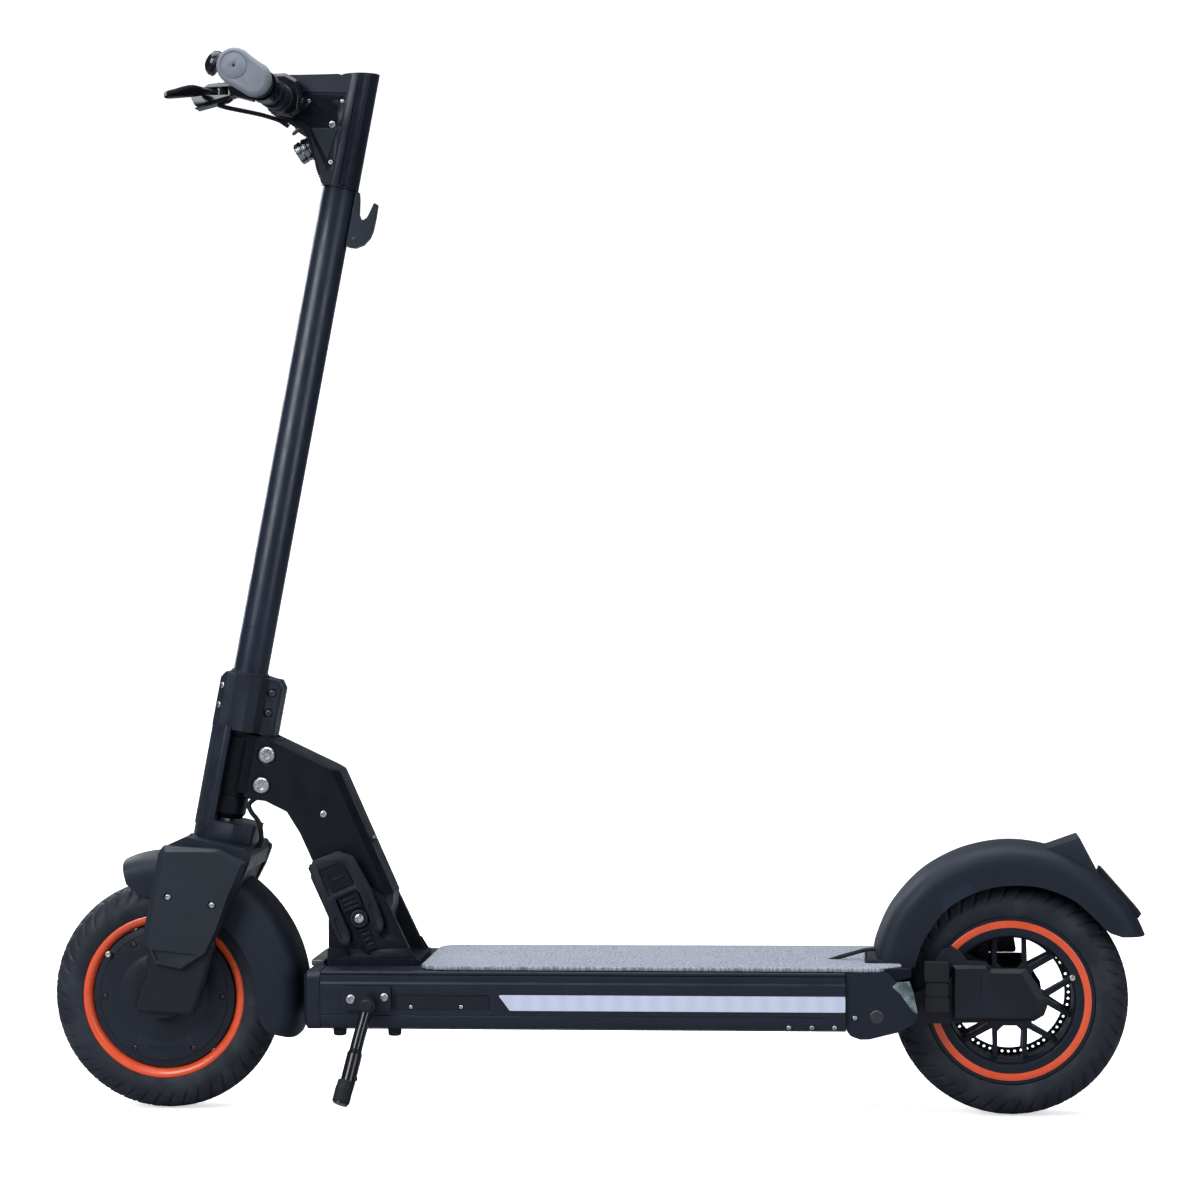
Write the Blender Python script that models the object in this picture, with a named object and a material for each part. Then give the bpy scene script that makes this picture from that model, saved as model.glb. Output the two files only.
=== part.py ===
"""Electric kick scooter, every sub-part its own closed solid. +Z is up, the front wheel is towards -X.

Sizes below are in millimetres and are scaled to metres as each mesh is made.
Pieces of the steering group are drawn in the stem's own frame: t is the distance behind the
steering axis, y is across, and s runs up the axis from where it meets the ground.
"""

import math

import bmesh
import bpy
from mathutils import Matrix, Vector

MM = 0.001
GAP = 0.3

# Wheels
TYRE_R, TYRE_HALF_WIDTH = 127.0, 31.0
RIM_R, RIM_HALF_WIDTH = 91.2, 28.0
MOTOR_R = 79.8
AXLE_Z = 127.0
FRONT_AXLE_X, REAR_AXLE_X = -470.4, 457.2

# Steering axis
STEM_LEAN = math.radians(11.36)
STEM_FOOT_X = -471.0
STEM_R, STEM_WALL = 19.0, 2.5
STEM_LOW, STEM_HIGH = 438.0, 1092.0
HEAD_LOW = 1036.0
SPINDLE_R = 12.0
CLAMP_LOW, CLAMP_HIGH = 430.0, 491.0
CROWN_TOP = 307.3
AXLE_T, AXLE_S = -24.4, 124.6

# Folding joint
FOLD_X, FOLD_Z = -247.1, 216.1
ARM_HALF_WIDTH = 33.0
WALL_IN, WALL_OUT = 35.0, 43.0
LATCH_OUT = 48.6

# Deck
DECK_FRONT, DECK_REAR = -302.1, 281.4
DECK_HALF_WIDTH = 90.0
DECK_LOW, DECK_HIGH = 101.5, 165.0
MAT_TOP = 170.0
CASTING_REAR = 357.3

# Rear suspension
SWING_X, SWING_Z = 314.0, 118.0
SWING_IN, SWING_OUT = 46.0, 56.0

# Handlebar
BAR_X, BAR_Z = -323.6, 1109.4
BAR_R, BAR_END = 11.5, 262.0
GRIP_IN, GRIP_OUT = 150.0, 270.0

# Kickstand pivot
STAND_X, STAND_Y, STAND_Z = -228.3, -101.0, 132.0

# name: base colour, metallic, roughness
FINISHES = {
    "black_paint": ((0.018, 0.021, 0.027, 1), 0.3, 0.45),
    "black_plastic": ((0.020, 0.022, 0.026, 1), 0.0, 0.5),
    "gloss_black": ((0.010, 0.011, 0.013, 1), 0.0, 0.15),
    "rubber": ((0.012, 0.012, 0.013, 1), 0.0, 0.8),
    "orange": ((0.75, 0.10, 0.035, 1), 0.1, 0.4),
    "steel": ((0.55, 0.55, 0.56, 1), 1.0, 0.3),
    "grey_grip": ((0.20, 0.21, 0.23, 1), 0.0, 0.6),
    "grey_mat": ((0.33, 0.33, 0.37, 1), 0.0, 0.85),
    "light_strip": ((0.70, 0.72, 0.85, 1), 0.0, 0.3),
    "red_lens": ((0.45, 0.02, 0.02, 1), 0.0, 0.2),
    "battery_wrap": ((0.04, 0.10, 0.25, 1), 0.0, 0.6),
    "alloy": ((0.35, 0.36, 0.38, 1), 1.0, 0.4),
}


# ---------------------------------------------------------------- shapes: (points, faces)


def prism(outline, low, high, axis="Y"):
    """The outline pushed from low to high along one axis. The outline gives the other two in order."""
    place = {
        "X": lambda a, b, level: (level, a, b),
        "Y": lambda a, b, level: (a, level, b),
        "Z": lambda a, b, level: (a, b, level),
    }[axis]
    count = len(outline)
    points = [place(a, b, level) for level in (low, high) for a, b in outline]
    faces = [tuple(range(count)), tuple(range(count, 2 * count))]
    for i in range(count):
        j = (i + 1) % count
        faces.append((i, j, count + j, count + i))
    return points, faces


def box(x0, x1, y0, y1, z0, z1):
    return prism([(x0, z0), (x1, z0), (x1, z1), (x0, z1)], y0, y1)


def loft(sections):
    """A skin through loops with the same number of points, closed by its two end loops."""
    count = len(sections[0])
    points = [point for section in sections for point in section]
    last = count * (len(sections) - 1)
    faces = [tuple(range(count)), tuple(range(last, last + count))]
    for row in range(len(sections) - 1):
        for i in range(count):
            j = (i + 1) % count
            a, b = row * count, (row + 1) * count
            faces.append((a + i, a + j, b + j, b + i))
    return points, faces


def turned(profile, steps=32):
    """The profile of (radius, along) turned about +Z: a ring, or a solid when both ends lie on the axis."""
    solid = profile[0][0] == 0 and profile[-1][0] == 0
    rows = profile[1:-1] if solid else profile
    points = []
    for radius, along in rows:
        for k in range(steps):
            turn = 2 * math.pi * k / steps
            points.append((radius * math.cos(turn), radius * math.sin(turn), along))
    last = steps * (len(rows) - 1)
    faces = [tuple(range(steps)), tuple(range(last, last + steps))] if solid else []
    for row in range(len(rows) - 1 if solid else len(rows)):
        here, after = row * steps, (row + 1) % len(rows) * steps
        for k in range(steps):
            m = (k + 1) % steps
            faces.append((here + k, here + m, after + m, after + k))
    return points, faces


def rod(radius, low, high, steps=16):
    return turned([(0, low), (radius, low), (radius, high), (0, high)], steps)


def pipe(inner, outer, low, high, steps=24):
    return turned([(inner, low), (outer, low), (outer, high), (inner, high)], steps)


def swept(path, radius, sides=8):
    """A round cable or bar along a path of points."""
    path = [Vector(p) for p in path]
    loops = []
    side = None
    for i, point in enumerate(path):
        ahead = path[min(i + 1, len(path) - 1)] - path[max(i - 1, 0)]
        ahead.normalize()
        if side is None:
            side = ahead.orthogonal().normalized()
        side = (side - side.dot(ahead) * ahead).normalized()
        up = ahead.cross(side)
        loop = []
        for k in range(sides):
            turn = 2 * math.pi * k / sides
            loop.append(point + radius * (math.cos(turn) * side + math.sin(turn) * up))
        loops.append(loop)
    return loft(loops)


def moved(shape, matrix):
    points, faces = shape
    return [matrix @ Vector(p) for p in points], faces


def aimed(shape, centre, direction):
    """The shape with its +Z turned to the direction and its origin moved to the centre."""
    turn = Vector((0, 0, 1)).rotation_difference(Vector(direction)).to_matrix().to_4x4()
    return moved(shape, Matrix.Translation(Vector(centre)) @ turn)


def across(shape, x, z):
    """The shape with its +Z turned to +Y, about the line through (x, z)."""
    return aimed(shape, (x, 0, z), (0, 1, 0))


def mirrored(shape):
    """The shape on the other side of the scooter's middle plane."""
    points, faces = shape
    return [(p[0], -p[1], p[2]) for p in points], [face[::-1] for face in faces]


def together(*shapes):
    """Several shapes as one mesh, for use as a cutter."""
    points, faces = [], []
    for more_points, more_faces in shapes:
        start = len(points)
        points += list(more_points)
        faces += [tuple(start + i for i in face) for face in more_faces]
    return points, faces


def ring_of(shape, count, first=0.0):
    """Copies of the shape spaced evenly about +Z."""
    return together(*(
        moved(shape, Matrix.Rotation(first + 2 * math.pi * k / count, 4, "Z"))
        for k in range(count)
    ))


def circle(x, z, radius, steps, start=0.0, end=360.0):
    """Points of an arc, with both ends when it isn't a whole circle."""
    whole = end - start >= 360
    spans = steps if whole else steps - 1
    turns = [math.radians(start + (end - start) * k / spans) for k in range(steps)]
    return [(x + radius * math.cos(a), z + radius * math.sin(a)) for a in turns]


# ---------------------------------------------------------------- objects


def clear_scene():
    for obj in list(bpy.data.objects):
        bpy.data.objects.remove(obj, do_unlink=True)


def frame(name, matrix=None):
    """An empty that carries a group of pieces, standing on their joint axis."""
    empty = bpy.data.objects.new(name, None)
    empty.empty_display_size = 0.03
    bpy.context.scene.collection.objects.link(empty)
    if matrix is not None:
        empty.matrix_world = matrix
    return empty


def at_point(x, y, z):
    return Matrix.Translation((x * MM, y * MM, z * MM))


def material_of(name, finish):
    colour, metallic, roughness = FINISHES[finish]
    material = bpy.data.materials.new(name)
    material.use_nodes = True
    shader = material.node_tree.nodes["Principled BSDF"]
    shader.inputs["Base Color"].default_value = colour
    shader.inputs["Metallic"].default_value = metallic
    shader.inputs["Roughness"].default_value = roughness
    material.diffuse_color = colour
    return material


def mesh_object(name, shape, parent, own_frame):
    """An object under its parent empty. Points are in world coordinates, or in the parent's own frame."""
    points, faces = shape
    bm = bmesh.new()
    corners = [bm.verts.new(Vector(p) * MM) for p in points]
    for face in faces:
        bm.faces.new([corners[i] for i in face])
    if not own_frame:
        bm.transform(parent.matrix_world.inverted())
    bmesh.ops.recalc_face_normals(bm, faces=bm.faces)
    mesh = bpy.data.meshes.new(name)
    bm.to_mesh(mesh)
    bm.free()
    for polygon in mesh.polygons:
        polygon.use_smooth = True
    mesh.set_sharp_from_angle(angle=math.radians(32))
    obj = bpy.data.objects.new(name, mesh)
    bpy.context.scene.collection.objects.link(obj)
    obj.parent = parent
    return obj


def part(name, shape, finish, parent, own_frame=False, add=(), cut=()):
    """A sub-part: its shape, joined with each shape in add, less each shape in cut."""
    obj = mesh_object(name, shape, parent, own_frame)
    obj.data.materials.append(material_of(name, finish))
    for operation, tools in (("UNION", add), ("DIFFERENCE", cut)):
        for number, tool in enumerate(tools):
            helper = mesh_object(f"{name}.{operation.lower()}{number}", tool, parent, own_frame)
            helper.hide_render = True
            helper.display_type = "WIRE"
            modifier = obj.modifiers.new(helper.name, "BOOLEAN")
            modifier.operation = operation
            modifier.solver = "EXACT"
            modifier.object = helper
    return obj


def pair(name, left_shape, finish, parent, own_frame=False, add=(), cut=()):
    """The same sub-part on the left side (-Y) and mirrored on the right."""
    part(f"{name}_left", left_shape, finish, parent, own_frame, add, cut)
    part(
        f"{name}_right", mirrored(left_shape), finish, parent, own_frame,
        [mirrored(s) for s in add], [mirrored(s) for s in cut],
    )


# ---------------------------------------------------------------- deck


def build_deck(deck):
    wall, inner = 6.0, DECK_HALF_WIDTH - 6.0
    tub_front, tub_top = DECK_FRONT + 19.4, DECK_HIGH - 4.3
    half, low = DECK_HALF_WIDTH, DECK_LOW
    section = [
        (-half, low + 8), (-half + 8, low), (half - 8, low), (half, low + 8),
        (half, tub_top), (-half, tub_top),
    ]
    light = [(-78, 123.5), (DECK_REAR + 1, 123.5), (DECK_REAR + 1, 140.4), (-89.6, 140.4)]
    strip = [(-76.7, 123.8), (DECK_REAR - GAP, 123.8), (DECK_REAR - GAP, 140.1), (-88.9, 140.1)]
    panel = [(-201.6, 124), (-98.6, 124), (-98.6, 140), (-201.6, 140)]
    plate = [(-201.3, 124.3), (-98.9, 124.3), (-98.9, 139.7), (-201.3, 139.7)]
    recesses = together(prism(light, -half - 2, -half + 3), prism(panel, -half - 2, -half + 2.6))
    part(
        "deck_tub", prism(section, tub_front, DECK_REAR, "X"), "black_paint", deck,
        cut=[
            box(tub_front + wall, DECK_REAR - wall, -inner, inner, low + 4, tub_top + 5),
            recesses, mirrored(recesses),
        ],
    )
    part("deck_lid", box(tub_front, DECK_REAR, -88, 88, tub_top + GAP, DECK_HIGH), "black_paint", deck)
    cap_section = [(-88, 109), (-80, 101.5), (80, 101.5), (88, 109), (88, 158), (80, 165), (-80, 165), (-88, 158)]
    part("deck_front_cap", prism(cap_section, DECK_FRONT, tub_front - GAP, "X"), "black_paint", deck)
    mat = [
        (-175.6, -64), (-169, -76), (-157, -82), (318, -84), (341, -66), (341, -47), (302, -47),
        (302, 47), (341, 47), (341, 66), (318, 84), (-157, 82), (-169, 76), (-175.6, 64),
    ]
    part("deck_mat", prism(mat, DECK_HIGH + GAP, MAT_TOP, "Z"), "grey_mat", deck)
    part("battery_pack", box(-100, 262, -72, 72, 108, 152), "battery_wrap", deck)
    part("motor_controller", box(-264, -128, -58, 58, 108, 146), "alloy", deck)
    pair("side_light", prism(strip, -half + 0.3, -half + 2.7), "light_strip", deck)
    pair("side_panel", prism(plate, -half + 0.4, -half + 2.3), "black_plastic", deck)


def build_rear_casting(deck):
    side = [
        (DECK_REAR + GAP, 104), (288, 96), (300, 93.5), (338.2, 102.3), (CASTING_REAR, 118),
        (CASTING_REAR, 126), (331.3, 159.8), (328, DECK_HIGH), (DECK_REAR + GAP, DECK_HIGH),
    ]
    wheel_room = box(300, 400, -59, 59, 80, 150)
    tyre_room = box(326, 400, -59, 59, 140, 180)
    pivot_hole = across(rod(5.3, -100, 100), SWING_X, SWING_Z)
    part(
        "rear_casting", prism(side, -85, 85), "black_paint", deck,
        cut=[wheel_room, tyre_room, pivot_hole],
    )
    part("swing_pivot_pin", across(rod(5.0, -84.5, 84.5), SWING_X, SWING_Z), "steel", deck)


def fender_sections(axle_x, stations, half_width, wall):
    """Loops of an arched mudguard about an axle. Each station is (turn from the top, radius, edge radius)."""
    loops = []
    for turn, radius, edge in stations:
        outer = [
            (edge, half_width), (radius - 26, half_width), (radius - 10, half_width - 5),
            (radius - 2.5, half_width - 17), (radius, half_width - 33),
        ]
        inner = [
            (edge, half_width - wall), (radius - 26, half_width - wall),
            (radius - 10 - wall * 0.8, half_width - 5 - wall * 0.8),
            (radius - 2.5 - wall, half_width - 17.5), (radius - wall, half_width - 33),
        ]
        loop = outer + [(r, -y) for r, y in outer[::-1]] + [(r, -y) for r, y in inner] + inner[::-1]
        a = math.radians(turn)
        loops.append([(axle_x + r * math.sin(a), y, AXLE_Z + r * math.cos(a)) for r, y in loop])
    return loops


def from_rear_axle(turn, radius):
    a = math.radians(turn)
    return REAR_AXLE_X + radius * math.sin(a), AXLE_Z + radius * math.cos(a)


def build_rear_fender(deck):
    stations = [
        (-75.5, 153, 107), (-66, 157.5, 110), (-50, 162.7, 115), (-31, 167.3, 121.8), (-15, 169.2, 124.4),
        (0, 170.4, 126), (15, 170, 128), (31, 168, 129), (44, 165, 127), (54, 164, 130), (60, 160.8, 150),
    ]
    foot = box(304, 322, -44, 44, DECK_HIGH - 3, DECK_HIGH + 4)
    fin = [from_rear_axle(8, 167), (497.5, 291.5), (531.6, 302.4), (553.0, 260.8), from_rear_axle(33, 162),
           from_rear_axle(20, 165)]
    part(
        "rear_fender", loft(fender_sections(REAR_AXLE_X, stations, 45.0, 2.6)), "black_plastic", deck,
        add=[foot, prism(fin, -24, 24)], cut=[box(280, 400, -60, 60, 100, DECK_HIGH + GAP)],
    )
    lens = [from_rear_axle(36.5, 167.6), from_rear_axle(36.5, 171.2), from_rear_axle(54, 168.8),
            from_rear_axle(54, 164.6), from_rear_axle(44, 165.6)]
    part("tail_light", prism(lens, -17, 17), "red_lens", deck)


# ---------------------------------------------------------------- folding joint


def build_fold_bracket(deck):
    wall = [
        (-281, 166), (-281, 233), (-272, 246), (-262, 251), (-250, 252), (-238, 250.5), (-227, 245),
        (-217.8, 235.9), (-186.4, 166),
    ]
    hole = across(rod(7.3, -60, 60), FOLD_X, FOLD_Z)
    part(
        "fold_bracket", box(-284, -182, -48, 48, DECK_HIGH + GAP, 171.5), "black_paint", deck,
        add=[prism(wall, -WALL_OUT, -WALL_IN), prism(wall, WALL_IN, WALL_OUT)],
        cut=[hole],
    )
    half = WALL_OUT + GAP
    bolt = turned([
        (0, -half - 4.5), (8, -half - 4.5), (10, -half - 3), (10, -half), (7, -half),
        (7, half), (10, half), (10, half + 3), (8, half + 4.5), (0, half + 4.5),
    ], 16)
    part("fold_axle", across(bolt, FOLD_X, FOLD_Z), "steel", deck)


def along_arm(down, side):
    """A point in the latch's frame: distance down the arm from the pivot, and towards its rear face."""
    slope = math.radians(22.7)
    return (
        FOLD_X + down * math.sin(slope) + side * math.cos(slope),
        FOLD_Z - down * math.cos(slope) + side * math.sin(slope),
    )


def build_latch(latch):
    plate = [along_arm(*p) for p in (
        (-78, -22), (-76, 8), (-65, 21.5), (-22, 25.5), (17, 23), (24, 17), (22, 12.5), (-14, 12.5),
        (-14, -15.5), (16, -15.5), (21, -22), (19, -29), (-26, -29.5), (-62, -30.5),
    )]
    block = [along_arm(*p) for p in ((-75, -28), (-75, 7), (-64, 19), (-48.5, 19), (-48.5, -28))]
    bridge = [along_arm(*p) for p in ((-73, -30.1), (-73, -27.6), (-50, -27.6), (-50, -30.1))]
    inner = ARM_HALF_WIDTH + 0.4
    outer = WALL_OUT + 0.6
    part(
        "fold_latch", prism(bridge, -46, 46), "black_plastic", latch,
        add=[
            prism(block, -LATCH_OUT + 0.7, -inner), prism(block, inner, LATCH_OUT - 0.7),
            prism(plate, -LATCH_OUT, -outer), prism(plate, outer, LATCH_OUT),
        ],
    )


def build_neck(neck):
    arm = [
        (-361.1, 414.6), (-349.5, 412.6), (-267.5, 374.8), (-211.5, 240.7), (-214.5, 228),
        (-218, 206), (-230, 190), (-247, 184), (-264, 189), (-275, 201), (-280.5, 232),
        (-300.5, 277.8), (-328.5, 334.7), (-352.3, 344.5), (-374, 346),
    ]
    slot = prism([(26.0, 330), (49.5, 330), (49.5, 440), (20.0, 440)], -17.7, 17.7)
    slot = moved(slot, STEM_MM)
    bolts = [(-349.8, 394.0), (-356.4, 360.5)]
    bolt_holes = together(*(across(rod(5.3, -50, 50, 16), x, z) for x, z in bolts))
    pivot = across(rod(7.3, -60, 60), FOLD_X, FOLD_Z)
    part(
        "neck_arm", prism(arm, -ARM_HALF_WIDTH, ARM_HALF_WIDTH), "black_paint", neck,
        cut=[slot, bolt_holes, pivot],
    )
    half = ARM_HALF_WIDTH + GAP
    bolt = turned([
        (0, -half - 4), (8, -half - 4), (9.5, -half - 2.5), (9.5, -half), (5, -half),
        (5, half), (9.5, half), (9.5, half + 2.5), (8, half + 4), (0, half + 4),
    ], 14)
    for name, (x, z) in zip(("neck_bolt_upper", "neck_bolt_lower"), bolts):
        part(name, across(bolt, x, z), "steel", neck)
    lug = moved(prism([(12.0, 362), (48.8, 360), (48.8, 427), (12.0, 427)], -17.4, 17.4), STEM_MM)
    tube = turned([
        (0, 331), (21, 331), (22.6, 336), (22.6, 356), (21, 358), (21, 429.3), (0, 429.3),
    ], 24)
    seats = together(rod(17, 320, 339.3), rod(17, 421, 440))
    part(
        "head_tube", moved(tube, STEM_MM), "black_paint", neck,
        add=[lug], cut=[moved(rod(14, 320, 440), STEM_MM), moved(seats, STEM_MM), bolt_holes],
    )
    for name, low in (("headset_bearing_lower", 331.2), ("headset_bearing_upper", 421.3)):
        part(name, moved(pipe(12.3, 16.7, low, low + 7.8, 24), STEM_MM), "steel", neck)


# ---------------------------------------------------------------- steering group, in the stem's frame


def build_fork(steer):
    clamp_plan = [
        (-26.5, -16), (-20, -27), (-8, -31), (8, -31), (18, -26), (25, -16), (41.3, -16),
        (41.3, 16), (25, 16), (18, 26), (8, 31), (-8, 31), (-20, 27), (-26.5, 16),
    ]
    low_plan = [(-27, -18), (-20, -30), (-8, -34), (20, -34), (41, -26), (41, 26), (20, 34), (-8, 34), (-20, 30), (-27, 18)]
    strut_plan = [(-27, -18), (-20, -30), (-8, -34), (-3, -34), (-3, 34), (-8, 34), (-20, 30), (-27, 18)]
    part(
        "fork_yoke", prism(clamp_plan, CLAMP_LOW, CLAMP_HIGH, "Z"), "black_paint", steer, True,
        add=[prism(strut_plan, 320, 434, "Z"), prism(low_plan, CROWN_TOP + 0.4, 328, "Z")],
        cut=[
            rod(STEM_R + GAP, 434, 500, 24), rod(23.2, 328, CLAMP_LOW, 24),
            rod(SPINDLE_R + GAP, 290, 440), box(15, 50, -1.4, 1.4, CLAMP_LOW - 2, 500),
        ],
    )
    part("stem_tube", pipe(STEM_R - STEM_WALL, STEM_R, STEM_LOW, STEM_HIGH), "black_paint", steer, True)
    part("steering_spindle", rod(SPINDLE_R, 291, 520), "steel", steer, True)

    crown = [(-50, 275), (-50, 291), (-27, CROWN_TOP), (42, CROWN_TOP), (48, 300), (46, 282), (0, 270)]
    leg = [
        (-46, 290), (-25, 304), (50, 304), (46, 280), (37, 250), (29, 215), (20, 180), (8, 130),
        (-8, 110), (-24.4, 104), (-40, 108), (-46, 124), (-43, 187), (-46, 250),
    ]
    wheel_room = across(rod(161.5, -46.3, 46.3, 48), AXLE_T, AXLE_S)
    part(
        "fork", prism(crown, -57, 57), "black_paint", steer, True,
        add=[prism(leg, -57, -46.9), prism(leg, 46.9, 57)],
        cut=[
            wheel_room, rod(SPINDLE_R + GAP, 250, 330),
            across(rod(7.3, -70, 70), AXLE_T, AXLE_S),
        ],
    )
    face = [
        (-50, 287), (-46, 295), (14, 302.5), (46, 294.5), (37, 257), (31, 218), (23, 188),
        (-1, 165.8), (-31, 165.8), (-44, 184), (-50.5, 192),
    ]
    nose = [(-44, 200), (29, 200), (20, 118), (-47.5, 108)]
    rim = [(t * 0.86 - 0.5, 236 + (s - 236) * 0.9) for t, s in face]
    shell = loft([
        [(t, -57.4, s) for t, s in face], [(t, -68, s) for t, s in face], [(t, -73, s) for t, s in rim],
    ])
    pair("fork_cover", shell, "black_plastic", steer, True, add=[prism(nose, -65, -57.4)])

    front_axle = turned([
        (0, -57), (7, -57), (7, -46.6), (11, -46.6), (11, -33.6), (7, -33.6),
        (7, 33.6), (11, 33.6), (11, 46.6), (7, 46.6), (7, 57), (0, 57),
    ], 14)
    part("front_axle", across(front_axle, AXLE_T, AXLE_S), "steel", steer, True)
    stations = [(-16, 157.5, 128), (-6, 159.5, 112)]
    stations += [(turn, 160.0, 108.0) for turn in (4, 16, 28, 40, 52, 64, 76, 88)]
    stations += [(99, 159, 108), (108, 156, 118)]
    part("front_fender", loft(fender_sections(FRONT_AXLE_X, stations, 45.0, 2.6)), "black_plastic", steer)


def build_head(steer):
    outline = [
        (-89, 1143.9), (21, 1162.5), (21, HEAD_LOW), (-20.5, HEAD_LOW),
        (-32.5, 1053.1), (-50.8, 1090.8), (-68.8, 1096.6), (-80, 1097), (-90, 1104), (-95, 1117),
        (-94, 1132),
    ]
    face, foot = Vector((-298.5, 0, 1059.5)), Vector((-0.935, 0, -0.355))
    to_stem = STEM_MM.inverted()
    part(
        "stem_head", prism(outline, -21, 21), "black_paint", steer, True,
        cut=[
            rod(STEM_R + GAP, HEAD_LOW - 5, STEM_HIGH + GAP, 32),
            moved(across(rod(BAR_R + GAP, -40, 40), BAR_X, BAR_Z), to_stem),
            moved(aimed(rod(16.8, -4.3, 40, 28), face, foot), to_stem),
            moved(box(-318.3, -261.7, -17.3, 17.3, 1132.7, 1150), to_stem),
            moved(aimed(rod(6.3, 0, 20, 20), (-245, 0, 1132), (0, 0, 1)), to_stem),
        ],
    )
    part("display", box(-318, -262, -17, 17, 1133, 1139), "gloss_black", steer)
    lamp = turned([(0, -4), (16.5, -4), (16.5, 15), (14.5, 18), (12, 18), (11, 16), (0, 16)], 28)
    part("headlight", aimed(lamp, face, foot), "gloss_black", steer)
    hook = [
        (19.4, 1034), (19.4, 976), (30, 976), (37.4, 981), (43, 989), (45, 997), (45, 1025),
        (38.5, 1024), (37, 1010), (34, 1006.5), (29, 1007), (26, 1011.5), (23.5, 1030), (21.5, 1034),
    ]
    part("fold_hook", prism(hook, -7, 7), "black_paint", steer, True)


def build_handlebar(steer):
    bar = across(pipe(BAR_R - 2.2, BAR_R, -BAR_END, BAR_END, 24), BAR_X, BAR_Z)
    part("handlebar", bar, "black_paint", steer)

    def grip_loop(y, radius, palm_x, palm_z, palm_r):
        """The hull of the round barrel and the palm rest behind it."""
        slope = math.degrees(math.atan2(palm_z - BAR_Z, palm_x - BAR_X))
        barrel = circle(BAR_X, BAR_Z, radius, 10, slope + 90, slope + 270)
        palm = circle(palm_x, palm_z, palm_r, 10, slope - 90, slope + 90)
        return [(x, y, z) for x, z in barrel + palm]

    loops = [
        grip_loop(-GRIP_OUT, 17.5, -304, 1095, 15.5), grip_loop(-GRIP_OUT + 4, 19.5, -302.5, 1093.5, 17.5),
        grip_loop(-232, 18.5, -303, 1094, 16.5), grip_loop(-196, 16.5, -318, 1105.5, 15.5),
        grip_loop(-GRIP_IN, 16, -322, 1108, 15.5),
    ]
    bore = across(rod(BAR_R + GAP, -BAR_END - GAP, -100), BAR_X, BAR_Z)
    pair("grip", loft(loops), "grey_grip", steer, cut=[bore])

    clamp = across(pipe(BAR_R + GAP, 17, -142, -120, 20), BAR_X, BAR_Z)
    arm = prism([(-337, 1096), (-350, 1082), (-378, 1079), (-378, 1084), (-357, 1085), (-338, 1112)], -141, -121)
    pin = aimed(rod(3.2, 0, 17, 16), (-368, -131, 1081), (0, 0, 1))
    part("brake_perch", clamp, "black_plastic", steer, add=[arm, pin])

    housing = across(pipe(BAR_R + GAP, 19, 112, 139.6, 24), BAR_X, BAR_Z)
    part("throttle_housing", housing, "black_plastic", steer)

    ring = across(pipe(BAR_R + GAP, 15.5, -96, -84, 18), BAR_X, BAR_Z)
    stalk = prism([(-336.8, 1106), (-351, 1112), (-351, 1122), (-336.8, 1118)], -94, -86)
    dome = turned([(0, 0), (13, 0), (14, 2), (13.5, 7), (10, 12), (5, 14.5), (0, 14.5)], 18)
    dome = aimed(dome, (-350, -90, 1119), (-0.9, 0, 0.44))
    part("bell", ring, "gloss_black", steer, add=[stalk, dome])


def build_controls(lever, paddle, button, striker):
    blade = [
        (-362, -124), (-362, -138), (-380, -146), (-398, -158), (-402, -190), (-405, -228), (-411, -236),
        (-417, -230), (-414, -190), (-409, -152), (-392, -136), (-374, -124),
    ]
    part(
        "brake_lever", prism(blade, 1086.4, 1095, "Z"), "black_paint", lever,
        cut=[aimed(rod(3.5, -20, 30, 16), (-368, -131, 1081), (0, 0, 1))],
    )
    ring = across(pipe(BAR_R + GAP, 16, 140, 149.6, 24), BAR_X, BAR_Z)
    tab = prism([(-322, 1096), (-306, 1071), (-298, 1072), (-296, 1077), (-310, 1101)], 136.0 + 4.4, 149.2)
    part("throttle_paddle", ring, "black_plastic", paddle, add=[tab])
    part("power_button", aimed(rod(6.0, 1134.4, 1138.4, 20), (-245, 0, 0), (0, 0, 1)), "gloss_black", button)
    flick = [(-333, 1127), (-352, 1141), (-355, 1138), (-338, 1122.5)]
    part("bell_lever", prism(flick, -75.5, -69), "gloss_black", striker)


# ---------------------------------------------------------------- wheels


def tyre_shape():
    half = [(92.2, 20), (93, 27), (104, TYRE_HALF_WIDTH), (116, 29), (124, 19)]
    inner = [(118, 18), (103, 25)]
    profile = half + [(TYRE_R, 4), (TYRE_R, -4)] + [(r, -y) for r, y in half[::-1]]
    profile += [(r, -y) for r, y in inner[::-1]] + inner
    return turned(profile, 32)


def build_front_wheel(wheel):
    inner = MOTOR_R + GAP
    rim = turned([
        (inner, -26), (82, -RIM_HALF_WIDTH), (RIM_R - 1, -RIM_HALF_WIDTH), (RIM_R, -26),
        (RIM_R, 26), (RIM_R - 1, RIM_HALF_WIDTH), (82, RIM_HALF_WIDTH), (inner, 26),
    ], 32)
    motor = turned([
        (7.3, -33.2), (18, -33.2), (22, -30.5), (MOTOR_R, -25), (MOTOR_R, 25), (22, 30.5),
        (18, 33.2), (7.3, 33.2),
    ], 32)
    for name, shape, finish in (
        ("front_rim", rim, "orange"), ("front_hub_motor", motor, "black_paint"),
        ("front_tyre", tyre_shape(), "rubber"),
    ):
        part(name, across(shape, FRONT_AXLE_X, AXLE_Z), finish, wheel)


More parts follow.
